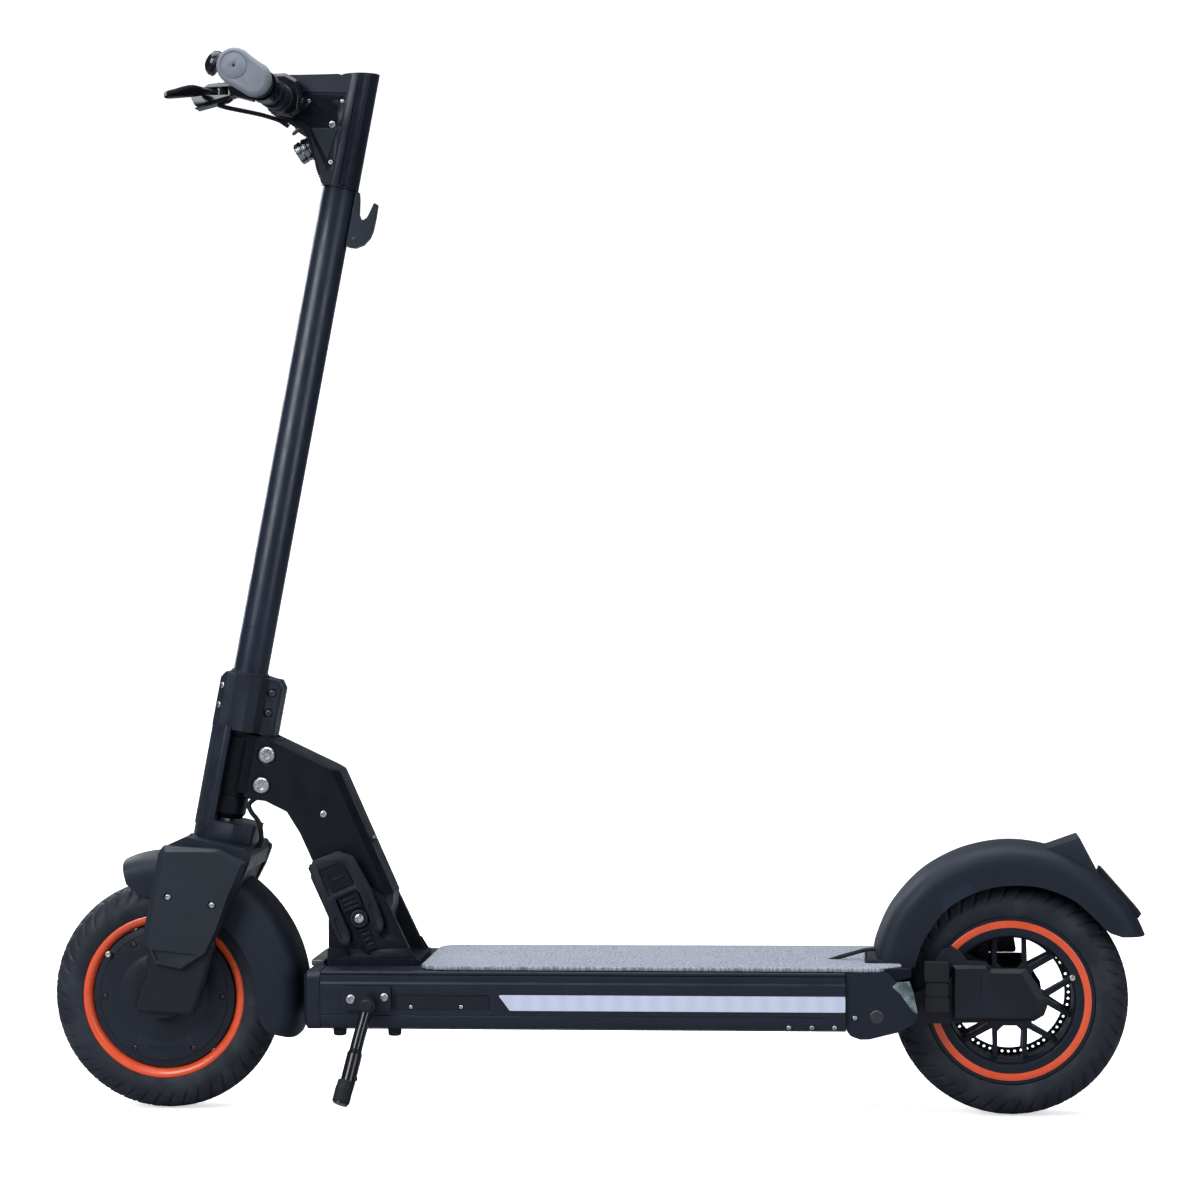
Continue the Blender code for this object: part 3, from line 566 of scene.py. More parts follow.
def shape_up(name, shape, material, add=(), cut=(), edge=0.6, rows=2, stem=False, crease=30):
    """The shape joined with add, less cut, with every edge sharper than crease rounded over by edge mm."""
    matrix = STEM if stem else None
    obj = mesh_object(name, shape, matrix)
    tools = []
    for operation, shapes in (("UNION", add), ("DIFFERENCE", cut)):
        for tool_shape in shapes:
            tool = mesh_object(f"{name}.tool", tool_shape, matrix)
            tools.append(tool)
            modifier = obj.modifiers.new("boolean", "BOOLEAN")
            modifier.operation = operation
            modifier.solver = "EXACT"
            modifier.object = tool
    if edge:
        bevel = obj.modifiers.new("rounding", "BEVEL")
        bevel.width = edge * MM
        bevel.segments = rows
        bevel.limit_method = "ANGLE"
        bevel.angle_limit = math.radians(crease)
        bevel.harden_normals = False
        weighted = obj.modifiers.new("normals", "WEIGHTED_NORMAL")
        weighted.keep_sharp = True
        weighted.weight = 60
    for polygon in obj.data.polygons:
        polygon.use_smooth = True
    settle(obj)
    for polygon in obj.data.polygons:
        polygon.use_smooth = True
    if not edge:
        obj.data.set_sharp_from_angle(angle=math.radians(crease + 10))
    for tool in tools:
        bpy.data.objects.remove(tool, do_unlink=True)
    obj.data.materials.clear()
    obj.data.materials.append(material)
    return obj


def piece(name, body, shape, material, stands_for=(), slot=None, **how):
    """A finished piece that rides on a CAD body, in place of the CAD nodes it stands for."""
    obj = shape_up(name, shape, material, **how)
    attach(obj, body)
    if stands_for:
        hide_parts(*stands_for)
    return obj


def both_sides(name, body, shape, material, stands_for=None, slot=None, add=(), cut=(), **how):
    """The piece on the left (-Y) and its mirror image on the right."""
    for side in ("left", "right"):
        flip = mirrored if side == "right" else (lambda s: s)
        nodes = (f"{stands_for}_{side}",) if stands_for else ()
        chosen = slot or (nodes[0] if nodes else None)
        piece(
            f"{name}_{side}", body, flip(shape), material, nodes, chosen,
            add=[flip(s) for s in add], cut=[flip(s) for s in cut], **how,
        )


def screws(name, body, spots, slot, material=STEEL):
    """Screw heads as one piece. Each spot is (position, outward direction, radius)."""
    heads = [aimed(socket_screw(radius), spot, outward) for spot, outward, radius in spots]
    return piece(name, body, together(*heads), material, (), slot, edge=0, crease=30)


def counterbores(spots, spare=1.0, depth=1.6):
    """Cutters that sink each screw head into the surface it sits on."""
    return together(*(
        aimed(rod(radius + spare, -depth, 3, 24), spot, outward) for spot, outward, radius in spots
    ))


def sunk(spots, depth=1.5):
    """The same spots, pushed into the surface."""
    return [(tuple(Vector(p) - Vector(d).normalized() * depth), d, r) for p, d, r in spots]


def both_ways(spots):
    """The spots on the left side, followed by their mirror images on the right."""
    return spots + [((x, -y, z), RIGHT, r) for (x, y, z), _, r in spots]


def from_stem(t, y, s):
    return tuple(STEM @ Vector((t, y, s)))


def on_bar(shape):
    return across(shape, BAR_X, BAR_Z)


def on_rear_axle(shape):
    return across(shape, REAR_AXLE_X, AXLE_Z)


def arm_outline(*spots):
    """An outline given as (distance down the neck arm, distance behind its middle)."""
    return [along_arm(down, side) for down, side in spots]


# ---------------------------------------------------------------- tyres and wheels


def smoothstep(low, high, value):
    f = max(0.0, min(1.0, (value - low) / (high - low)))
    return f * f * (3 - 2 * f)


def tread_depth(along, side, pitch):
    """How deep the tread is cut at a point: slanted shoulder cuts, short inner cuts, two round grooves."""
    reach = abs(side)
    hand = 0.5 if side > 0 else 0.0
    long_cut = abs((along / pitch + 0.035 * reach + hand) % 1 - 0.5) * pitch
    short_cut = abs((along / pitch - 0.05 * reach + hand + 0.5) % 1 - 0.5) * pitch
    depth = (1 - smoothstep(1.0, 2.0, long_cut)) * smoothstep(8, 11, reach) * (1 - smoothstep(33, 37, reach))
    inner = (1 - smoothstep(0.9, 1.8, short_cut)) * smoothstep(2, 4, reach) * (1 - smoothstep(15, 18, reach))
    ring = 1 - smoothstep(1.0, 2.0, abs(reach - 6.5))
    return 2.4 * max(depth, 0.8 * inner, 0.9 * ring)


def tyre(name, body, axle_x, node):
    repeats, per_repeat, cross = 46, 14, 46
    steps = repeats * per_repeat
    pitch = 2 * math.pi * TYRE_R / repeats
    loops = []
    for k in range(steps):
        turn = 2 * math.pi * k / steps
        loop = []
        for i in range(cross + 1):
            bend = math.radians(-113 + 226 * i / cross)
            side = bend * 27.5
            wall = math.copysign(abs(math.sin(bend)) ** 0.86, bend)
            lip = 0.7 * math.exp(-((abs(side) - 41.5) / 1.2) ** 2)
            lip += 0.5 * math.exp(-((abs(side) - 48) / 0.9) ** 2)
            depth = tread_depth(turn * TYRE_R, side, pitch) - lip
            r = 101 + (26 - depth) * math.cos(bend) + lip * 0.2
            y = (TYRE_HALF_WIDTH - depth * 0.6) * wall
            loop.append((r, y))
        loop += [(92.0, 20.0), (92.0, -20.0)]
        loops.append([
            (axle_x + r * math.sin(turn), y, AXLE_Z + r * math.cos(turn)) for r, y in loop
        ])
    piece(name, body, loft(loops, closed=True), TYRE, (node,), edge=0, crease=50)


def valve(name, body, axle_x, turn, slot, radius):
    """A short valve and its cap standing out of the rim's near side."""
    a = math.radians(turn)
    foot = (axle_x + radius * math.sin(a), -24.0, AXLE_Z + radius * math.cos(a))
    stem = rod(2.4, -6, 4, 16)
    cap = turned([(0, 3), (3.2, 3), (3.6, 4.5), (3.6, 7.5), (2.6, 8.6), (1.6, 8.6), (1.4, 8.0), (0, 8.0)], 20)
    piece(name, body, aimed(together(stem, cap), foot, LEFT), BRASS, (), slot, edge=0.3)


def front_wheel():
    tyre("front_tyre_treaded", "front_wheel", FRONT_AXLE_X, "front_tyre")
    half = [
        (80.2, 19), (80.6, 21.5), (82.0, 25.0), (84.0, 27.4), (86.5, 28.4), (89.0, 28.6), (90.8, 27.6),
        (91.4, 26),
    ]
    rim = turned(symmetric(half), 144)
    piece(
        "front_rim_turned", "front_wheel", across(rim, FRONT_AXLE_X, AXLE_Z), ORANGE, ("front_rim",),
        edge=0, crease=45,
    )
    motor_half = [
        (7.3, 33.2), (15, 33.2), (16.5, 32.8), (17, 31.2), (24, 30.6), (25, 30.2), (26, 30.6), (48, 28.9),
        (50, 28.2), (52, 28.6), (71, 26.8), (72, 25.6), (75, 25.2), (78.6, 24.6), (79.8, 23.0),
    ]
    shell = turned(motor_half[::-1] + [(r, -y) for r, y in motor_half], 144)
    cover_screws = []
    for k in range(6):
        a = math.radians(60 * k)
        spot = (FRONT_AXLE_X + 66 * math.cos(a), -26.6, AXLE_Z + 66 * math.sin(a))
        cover_screws.append((spot, LEFT, 2.8))
    cover_screws = both_ways(cover_screws)
    crescent = arc(0, 0, 60, 22, 253, 287) + arc(0, 2.6, 60, 22, 287, 253)
    crescent = [(FRONT_AXLE_X + x, AXLE_Z + z) for x, z in crescent]
    piece(
        "front_hub_motor_cased", "front_wheel", across(shell, FRONT_AXLE_X, AXLE_Z), PAINT,
        ("front_hub_motor",), cut=[counterbores(cover_screws, 1.0, 1.2), prism(crescent, -40, -27.2)],
        edge=0,
    )
    screws("front_hub_screws", "front_wheel", sunk(cover_screws, 1.0), "front_hub_motor", DARK_STEEL)
    valve("front_valve", "front_wheel", FRONT_AXLE_X, -52.5, "front_rim", 76.8)


def rear_wheel():
    tyre("rear_tyre_treaded", "rear_wheel", REAR_AXLE_X, "rear_tyre")
    half = [
        (17, 29.5), (18, 12), (22, 9.5), (60, 7.5), (66.2, 7.5), (67.2, 10), (67.6, 23), (69.5, 26.6),
        (73, 27.6), (79, 28), (86, 28), (90.4, 27.6), (91.4, 25),
    ]
    rim = turned([(6.4, 29.5)] + half + [(r, -y) for r, y in half[::-1]] + [(6.4, -29.5)], 96)
    rim_r, half_width = 67.0, 13.4
    side = math.degrees(math.asin(half_width / rim_r))
    window = [(30, -7), (36, -half_width)] + [
        (rim_r * math.cos(math.radians(a)), rim_r * math.sin(math.radians(a)))
        for a in (-side, -side * 0.5, 0, side * 0.5, side)
    ] + [(36, half_width), (30, 7)]
    spoke_edge = half_width + 4.8
    apex = spoke_edge / math.sin(math.radians(30)) + 1.5
    corner = math.degrees(math.radians(30) - math.asin(spoke_edge / rim_r))
    triangle = [(apex, 0)] + [
        (rim_r * math.cos(math.radians(a)), rim_r * math.sin(math.radians(a)))
        for a in (-corner, -corner * 0.5, 0, corner * 0.5, corner)
    ]
    windows = ring_of(prism(window, -14, 14, "Z"), 6, math.radians(30))
    triangles = ring_of(prism(triangle, -14, 14, "Z"), 6)
    piece(
        "rear_rim_spoked", "rear_wheel", on_rear_axle(rim), PAINT, ("rear_rim",),
        cut=[on_rear_axle(windows), on_rear_axle(triangles)], edge=0.7,
    )
    stripe = turned([(79, 28.02), (86, 28.02), (86.3, 28.25), (86, 28.45), (79, 28.45), (78.7, 28.25)], 144)
    stripe = on_rear_axle(stripe)
    both_sides("rear_rim_stripe", "rear_wheel", mirrored(stripe), ORANGE, None, "rear_rim", edge=0)
    brake_disc()
    valve("rear_valve", "rear_wheel", REAR_AXLE_X, 68.9, "rear_rim", 70.3)


def brake_disc():
    """A thin drilled ring on six slanted arms, on the far side of the wheel."""
    ring = pipe(61.0, 69.6, 32, 34, 120)
    hub = pipe(19, 27, 32, 34, 64)
    arms = []
    for k in range(6):
        start, end = math.radians(60 * k - 12), math.radians(60 * k + 16)
        a = Vector((25.5 * math.cos(start), 25.5 * math.sin(start)))
        b = Vector((62.5 * math.cos(end), 62.5 * math.sin(end)))
        side = (b - a).orthogonal().normalized() * 2.6
        arms.append(prism([a + side, a - side, b - side, b + side], 32, 34, "Z"))
    holes = ring_of(moved(rod(1.5, 30, 40, 12), Matrix.Translation((65.3, 0, 0))), 60)
    piece(
        "brake_disc_drilled", "rear_wheel", on_rear_axle(ring), DISC, ("brake_disc",),
        add=[on_rear_axle(hub)] + [on_rear_axle(arm) for arm in arms],
        cut=[on_rear_axle(holes)], edge=0, crease=20,
    )
    bolts = []
    for k in range(6):
        a = math.radians(60 * k)
        bolts.append(((REAR_AXLE_X + 23 * math.cos(a), 34, AXLE_Z + 23 * math.sin(a)), RIGHT, 2.4))
    screws("brake_disc_bolts", "rear_wheel", bolts, "brake_disc")


# ---------------------------------------------------------------- mudguards


def arch(axle_x, stations, half_width, wall, steps=72):
    """A mudguard shell about an axle. Stations are (turn from the top, radius, edge radius)."""
    def between(turn, column):
        for a, b in zip(stations, stations[1:]):
            if turn <= b[0] + 1e-6:
                f = smoothstep(0, 1, (turn - a[0]) / (b[0] - a[0])) * 0.35
                f += 0.65 * (turn - a[0]) / (b[0] - a[0])
                return a[column] + (b[column] - a[column]) * f
        return stations[-1][column]

    def section(radius, edge, inset):
        width, shoulder = half_width - inset, 25.0 - inset
        top = radius - inset
        side = [(edge, width), ((edge + top - shoulder) / 2, width)]
        curve = []
        for k in range(13):
            a = math.pi / 2 * k / 12
            curve.append((top - shoulder + shoulder * math.sin(a) ** 0.75, width * math.cos(a) ** 0.62))
        return side + curve

    loops = []
    for k in range(steps + 1):
        turn = stations[0][0] + (stations[-1][0] - stations[0][0]) * k / steps
        radius, edge = between(turn, 1), between(turn, 2)
        outer = section(radius, edge, 0)
        inner = section(radius, edge, wall)
        loop = outer + [(r, -y) for r, y in outer[-2::-1]]
        loop += [(r, -y) for r, y in inner] + inner[-2::-1]
        a = math.radians(turn)
        loops.append([(axle_x + r * math.sin(a), y, AXLE_Z + r * math.cos(a)) for r, y in loop])
    return loft(loops)


def from_rear_axle(turn, radius):
    a = math.radians(turn)
    return REAR_AXLE_X + radius * math.sin(a), AXLE_Z + radius * math.cos(a)


def front_fender():
    stations = [
        (-16, 157.4, 131), (-13, 158.2, 121), (-8, 158.8, 112), (2, 159, 108), (30, 158.4, 107),
        (60, 157.6, 107), (90, 157.2, 107), (98, 156.8, 109), (104, 155.6, 116), (107, 154.2, 124),
    ]
    piece(
        "front_fender_shell", "steering", arch(FRONT_AXLE_X, stations, 45.0, 2.6), FENDER, ("front_fender",),
        edge=0.9, crease=55,
    )


def rear_fender():
    stations = [
        (-75.5, 153, 107), (-66, 157.5, 110), (-50, 162.7, 115), (-31, 167.3, 121.8), (-15, 169.2, 124.4),
        (0, 170.4, 126), (15, 170, 128), (31, 168, 129), (44, 165, 127), (54, 163.2, 127.5),
        (64.5, 160.5, 129),
    ]
    ground = box(280, 400, -60, 60, 60, DECK_HIGH + 0.3)
    tail = prism([(545, 215), (563, 202), (575, 198), (612, 197.5), (612, 150), (545, 150)], -60, 60)
    foot = prism(
        rounded([(304, -41), (324, -41), (324, 41), (304, 41)], 6), DECK_HIGH - 3, DECK_HIGH + 7.5, "Z",
    )
    fin = prism([
        from_rear_axle(8, 167.5), from_rear_axle(13, 168.2), (499.5, 291.3), (531.0, 302.4), (532.6, 301.2),
        (552.9, 261.6), from_rear_axle(34, 163), from_rear_axle(20, 166),
    ], -27, 27)
    piece(
        "rear_fender_shell", "deck", arch(REAR_AXLE_X, stations, 45.0, 2.6), FENDER, ("rear_fender",),
        add=[foot, fin], cut=[ground, tail], edge=0.9, crease=50,
    )
    frame_outline = [
        from_rear_axle(35.2, 165.5), from_rear_axle(34.6, 171.4), (557.4, 266.8), (597.6, 220.0),
        from_rear_axle(57.2, 162.4), from_rear_axle(44, 163.6),
    ]
    opening = [(560.9, 268.3), (557.3, 265.0), (593.2, 223.4), (596.8, 226.7)]
    piece(
        "tail_light_frame", "deck", prism(frame_outline, -20, 20), PLASTIC, (), "tail_light",
        cut=[prism(opening, -16.2, 16.2)], edge=0.7,
    )
    lens = [(557.3, 264.0), (559.4, 264.9), (594.2, 224.6), (593.0, 222.6), (588, 226), (560, 258.5)]
    piece("tail_light_lens", "deck", prism(lens, -15.9, 15.9), RED, ("tail_light",), edge=0.8)
    screws("rear_fender_screws", "deck", [
        ((314, -28, DECK_HIGH + 7.5), (0, 0, 1), 3.2), ((314, 28, DECK_HIGH + 7.5), (0, 0, 1), 3.2),
    ], "rear_fender", DARK_STEEL)


# ---------------------------------------------------------------- deck


def deck_tub():
    """The extruded tub, recessed for its side lights and panels, and the lid that closes it."""
    half, low = DECK_HALF_WIDTH, DECK_LOW
    section = [
        (-half + 0.2, low + 9), (-half + 3, low + 3), (-half + 10, low), (half - 10, low),
        (half - 3, low + 3), (half - 0.2, low + 9), (half, low + 16), (half, TUB_TOP - 9),
        (half - 1.4, TUB_TOP - 7), (half - 1.4, TUB_TOP), (-half + 1.4, TUB_TOP),
        (-half + 1.4, TUB_TOP - 7), (-half, TUB_TOP - 9), (-half, low + 16),
    ]
    light = rounded([(-78, 123.2), (DECK_REAR + 4, 123.2), (DECK_REAR + 4, 140.7), (-90.0, 140.7)], 1.5)
    panel = rounded([(-201.6, 124), (-98.6, 124), (-98.6, 140), (-201.6, 140)], 2.5)
    recesses = together(prism(light, -half - 2, -half + 3), prism(panel, -half - 2, -half + 2.6))
    ribs = together(*(
        box(TUB_FRONT + 14, DECK_REAR - 14, y - 3, y + 3, low - 1, low + 1.2)
        for y in (-56, -28, 0, 28, 56)
    ))
    seam = together(*(
        box(TUB_FRONT - 5, DECK_REAR + 5, y - 0.8, y + 0.8, 117.4, 118.4) for y in (-half, half)
    ))
    piece(
        "deck_tub_extrusion", "deck", prism(section, TUB_FRONT, DECK_REAR, "X"), PAINT, ("deck_tub",),
        cut=[
            box(TUB_FRONT + 6, DECK_REAR - 6, -half + 6, half - 6, low + 4, TUB_TOP + 5),
            recesses, mirrored(recesses), ribs, seam,
        ], edge=0.5,
    )
    piece(
        "deck_lid_plate", "deck", box(TUB_FRONT, DECK_REAR, -88.4, 88.4, TUB_TOP + 0.3, DECK_HIGH), PAINT,
        ("deck_lid",), edge=1.4, rows=3,
    )


def deck_front():
    cap = rounded([(-88, 101.5), (88, 101.5), (88, 165), (-88, 165)], 9, 6)
    cap_back = [(TUB_FRONT - 0.3, y, z) for y, z in cap]
    cap_front = [(DECK_FRONT + 4.5, y, z) for y, z in cap]
    nose = [(DECK_FRONT, y * 0.93, 133 + (z - 133) * 0.86) for y, z in cap]
    cap_screws = [((DECK_FRONT + 0.2, y, z), (-1, 0, 0), 3.2) for y in (-62, 62) for z in (118, 148)]
    piece(
        "deck_front_cap_cast", "deck", loft([cap_back, cap_front, nose]), PAINT, ("deck_front_cap",),
        cut=[counterbores(cap_screws, 1.0, 2.0)], edge=0.8,
    )
    screws("deck_front_screws", "deck", sunk(cap_screws, 1.6), "deck_front_cap")
    plate = prism(
        rounded([(-301.4, -44), (-286, -44), (-286, 44), (-301.4, 44)], 3), DECK_HIGH - 1, 170.6, "Z",
    )
    piece("deck_front_plate", "deck", plate, ALLOY, (), "deck_front_cap", edge=1.2, rows=3)


def deck_mat():
    outline = symmetric([
        (-175.6, -64), (-169, -76), (-157, -82), (318, -84), (341, -66), (341, -47.5), (302, -47.5),
    ])
    mat = rounded(outline, 7, 5)
    piece(
        "deck_mat_moulded", "deck", prism(mat, DECK_HIGH + 0.3, MAT_TOP, "Z"), MAT, ("deck_mat",),
        edge=1.6, rows=3,
    )


def side_fittings():
    """Light bars and cover panels, each let into a recess of the tub."""
    half = DECK_HALF_WIDTH
    panel_screws = [((-184, -half, 126.9), LEFT, 2.2), ((-129.8, -half, 127.2), LEFT, 2.2)]
    strip = rounded([(-77.0, 123.6), (DECK_REAR - 0.3, 123.6), (DECK_REAR - 0.3, 140.3), (-89.2, 140.3)], 1.2)
    both_sides(
        "side_light_bar", "deck", prism(strip, -half - 0.5, -half + 2.7), STRIP, "side_light", edge=1.1,
        rows=3,
    )
    plate = rounded([(-201.2, 124.4), (-99, 124.4), (-99, 139.6), (-201.2, 139.6)], 2.2)
    both_sides(
        "side_panel_plate", "deck", prism(plate, -half + 0.7, -half + 2.3), PLASTIC, "side_panel",
        cut=[counterbores(panel_screws, 0.8, 1.5)], edge=0.4,
    )
    screws("side_panel_screws", "deck", sunk(both_ways(panel_screws), 0.9), "side_panel_left")


def deck_underside():
    low = DECK_LOW
    foot = turned([(0, -8.5), (5.5, -8.5), (7, -7.5), (7.5, -1), (7.5, 0.5), (0, 0.5)], 24)
    feet = together(*(aimed(foot, (x, y, low), (0, 0, 1)) for x in (-265, -205) for y in (-70, 70)))
    piece("deck_feet", "deck", feet, RUBBER, (), "rubber_buffer_left", edge=0.4)
    studs = [((x, -88.2, low + 5.6), (0, -0.93, -0.36), 2.6) for x in (221, 245.5, 269.5)]
    studs += [((x, 88.2, low + 5.6), (0, 0.93, -0.36), 2.6) for x in (221, 245.5, 269.5)]
    screws("deck_under_screws", "deck", studs, "deck_tub")


def rear_casting():
    side = [
        (DECK_REAR + 0.3, 104), (286, 98), (296, 94), (306, 94.2), (338.2, 102.3), (354, 112), (357.3, 119),
        (357.3, 126), (333, 158), (327, 165), (DECK_REAR + 0.3, 165),
    ]
    side = rounded(side, 3.5, 4)
    wheel_room = box(300, 400, -59, 59, 80, 150)
    tyre_room = box(326, 400, -59, 59, 140, 180)
    pivot = across(rod(5.4, -100, 100), SWING_X, SWING_Z)
    edge_screw = both_ways([((291, -85, 117), LEFT, 2.6)])
    piece(
        "rear_casting_cast", "deck", prism(side, -85, 85), PAINT, ("rear_casting",),
        cut=[wheel_room, tyre_room, pivot, counterbores(edge_screw, 0.9, 1.6)], edge=1.2, rows=3,
    )
    screws("rear_casting_screws", "deck", sunk(edge_screw, 1.0), "rear_casting")
    ear = rounded(
        [(279, 158), (279, 166.2), (300, 168.8), (351, 169.2), (351, 160), (333, 154), (300, 154)], 1.5,
    )
    both_sides("rear_casting_ear", "deck", prism(ear, -80.5, -60), ARM_PAINT, None, "rear_casting", edge=0.8)
    wedge = rounded([
        (330.5, 150.5), (336, 155), (349, 156), (352.5, 146), (357.5, 122), (352.5, 124), (346, 133),
        (339, 143),
    ], 1.2)
    both_sides(
        "rear_side_marker", "deck", prism(wedge, -86.2, -82), MARKER, None, "side_light_left", edge=0.8,
    )
    pin = turned(
        symmetric([(0, -86), (6.5, -86), (7.5, -85.2), (5, -84.4)]), 32,
    )
    piece(
        "swing_pivot_pin_headed", "deck", across(pin, SWING_X, SWING_Z), DARK_STEEL, ("swing_pivot_pin",),
        edge=0.2,
    )


# ---------------------------------------------------------------- rear suspension


def suspension():
    plate = rounded([
        (306, 107), (303.5, 118), (310, 128), (360, 140), (400, 158), (440, 158), (470, 150), (482, 132),
        (478, 116), (462, 109), (380, 107),
    ], 6, 5)
    hole = on_rear_axle(rod(6.3, -80, 80))
    pivot = across(rod(5.3, -80, 80, 48), SWING_X, SWING_Z)
    piece(
        "swing_arm_forged", "swing", prism(plate, -56, -46), PAINT, ("swing_arm",),
        add=[prism(plate, 46, 56), across(rod(11.0, -57.5, 57.5, 48), SWING_X, SWING_Z)],
        cut=[pivot, hole], edge=0.8,
    )
    axle = turned([
        (0, -56), (6, -56), (6, -45.6), (9, -45.6), (9, -30.5), (6, -30.5), (6, 35.5), (9, 35.5), (9, 45.6),
        (6, 45.6), (6, 56), (0, 56),
    ], 32)
    piece("rear_axle_turned", "swing", on_rear_axle(axle), STEEL, ("rear_axle",), edge=0.3)
    outer = [
        (394.5, 110.6), (394.5, 170.4), (431, 170.4), (435, 166.5), (472.5, 166.5), (484, 150),
        (493.5, 134.5), (494.6, 126.5), (491, 117), (480.5, 110.6),
    ]
    face = [
        (397, 114), (398, 166.8), (430, 167.2), (434.8, 162.3), (466.8, 162.2), (476, 147.5), (484, 134.1),
        (483, 123.1), (480.5, 118.5), (476, 114.4),
    ]
    shell = loft([
        [(x, -56.4, z) for x, z in outer], [(x, -60.0, z) for x, z in outer], [(x, -65, z) for x, z in face],
    ])
    shoulder = rounded([
        (366, 168), (377, 174), (383, 184.5), (394, 189.5), (405, 182), (411, 174), (430, 173), (440, 164),
    ], 2)
    both_sides(
        "swing_cover_shoulder", "swing", prism(shoulder, -58, -48), PLASTIC, None, "swing_cover_left",
        edge=0.8,
    )
    groove = box(425.0, 425.8, -66, -64.5, 118, 163)
    both_sides(
        "swing_cover_shell", "swing", shell, PLASTIC, "swing_cover", cut=[groove], edge=1.2, rows=3,
        crease=15,
    )
    layers = []
    for low, high, inset in ((121, 136, 0), (137.5, 152, 1.2), (153.5, 174, 0)):
        x0, x1 = 365 + inset, 391 - inset
        layer = rounded([(x0, low), (x1, low), (x1, high), (x0, high)], 2)
        layers.append(prism(layer, -70 + inset, -56.6))
    core = box(368, 388, -68, -57, 122, 173)
    both_sides(
        "rubber_buffer_stack", "swing", together(*layers), RUBBER, "rubber_buffer", add=[core], edge=0.6,
    )


def caliper():
    """A cast two-half caliper straddling the disc on the far side, with a cable arm."""
    body = rounded(
        [(398, 170), (400, 188), (407, 194.5), (430, 195), (456, 193), (464, 188), (467, 170)], 4, 4,
    )
    inner = prism(
        rounded([(401, 160), (404, 192), (409, 196), (432, 196), (436, 190), (436, 160)], 2), 28.7, 44,
    )
    slot = prism([(380, 140), (490, 140), (490, 194.6), (380, 194.6)], 31.0, 35.0)
    bolts = [((409, 56, 181), RIGHT, 4.2), ((455, 56, 181), RIGHT, 4.2)]
    cylinder = aimed(rod(10.5, 0, 4.5, 40), (432, 55.5, 182), RIGHT)
    arm = swept(smooth_path([(432, 60, 182), (438, 61, 190), (452, 59, 197)]), 2.6)
    ribs = together(*(box(x, x + 2.2, 52, 58, 188, 199) for x in (414, 419, 424, 445, 450)))
    piece(
        "brake_caliper_cast", "swing", prism(body, 37.5, 56), PAINT, ("brake_caliper",),
        add=[inner, cylinder], cut=[slot, ribs], edge=0.8,
    )
    piece("brake_caliper_arm", "swing", arm, DARK_STEEL, (), "brake_caliper", edge=0)
    screws("brake_caliper_bolts", "swing", bolts, "brake_caliper", DARK_STEEL)


# ---------------------------------------------------------------- folding joint


def along_arm(down, side):
    slope = math.radians(22.7)
    return (
        FOLD_X + down * math.sin(slope) + side * math.cos(slope),
        FOLD_Z - down * math.cos(slope) + side * math.sin(slope),
    )


def fold_bracket():
    wall = [
        (-282, 168), (-281.5, 233), (-272, 246), (-260, 251.3), (-246, 252), (-233, 248.5), (-222, 240.5),
        (-217.0, 234.5), (-186.0, 168),
    ]
    wall = rounded(wall, 4, 4)
    base = rounded([(-284, -48), (-182, -48), (-182, 48), (-284, 48)], 5)
    hole = across(rod(7.3, -60, 60), FOLD_X, FOLD_Z)
    slots = []
    for side0, down0, down1 in ((-22.5, 2, 30), (18.5, 0, 26)):
        a, b = along_arm(down0, side0), along_arm(down1, side0)
        slots.append(prism(capsule(*a, *b, 5.2), -60, -WALL_OUT + 3.4))
    a, b = along_arm(12, -1), along_arm(36, -1)
    slots.append(prism(capsule(*a, *b, 6.8), -60, -WALL_OUT + 3.0))
    crease = prism([(-300, 183.5), (-230, 181.5), (-170, 186), (-170, 187.2), (-230, 182.7), (-300, 184.7)],
                   -50, -WALL_OUT + 0.7)
    details = slots + [crease]
    lower = prism(rounded([(-283.0, 171), (-282.6, 183.8), (-230, 181.8), (-193, 185.2), (-184.4, 171)], 1),
                  -WALL_OUT - 1.6, -WALL_OUT + 1)
    piece(
        "fold_bracket_cast", "deck", prism(base, DECK_HIGH + 0.3, 171.5, "Z"), ARM_PAINT, ("fold_bracket",),
        add=[prism(wall, -WALL_OUT, -WALL_IN), prism(wall, WALL_IN, WALL_OUT), lower, mirrored(lower)],
        cut=[hole] + details + [mirrored(s) for s in details], edge=0.9,
    )
    half = WALL_OUT + 0.3
    head = [
        (10.4, half), (10.4, half + 2.0), (9.4, half + 3.0), (7.4, half + 3.2), (6.6, half + 1.6),
        (0, half + 1.6),
    ]
    bolt = turned([(r, -y) for r, y in head[::-1]] + [(7, -half), (7, half)] + head, 48)
    piece("fold_axle_flanged", "deck", across(bolt, FOLD_X, FOLD_Z), PAINT, ("fold_axle",), edge=0.2, rows=1)
    middle = [((FOLD_X, side * (half + 1.8), FOLD_Z), (0, side, 0), 5.6) for side in (-1, 1)]
    screws("fold_axle_screws", "deck", middle, "fold_axle")


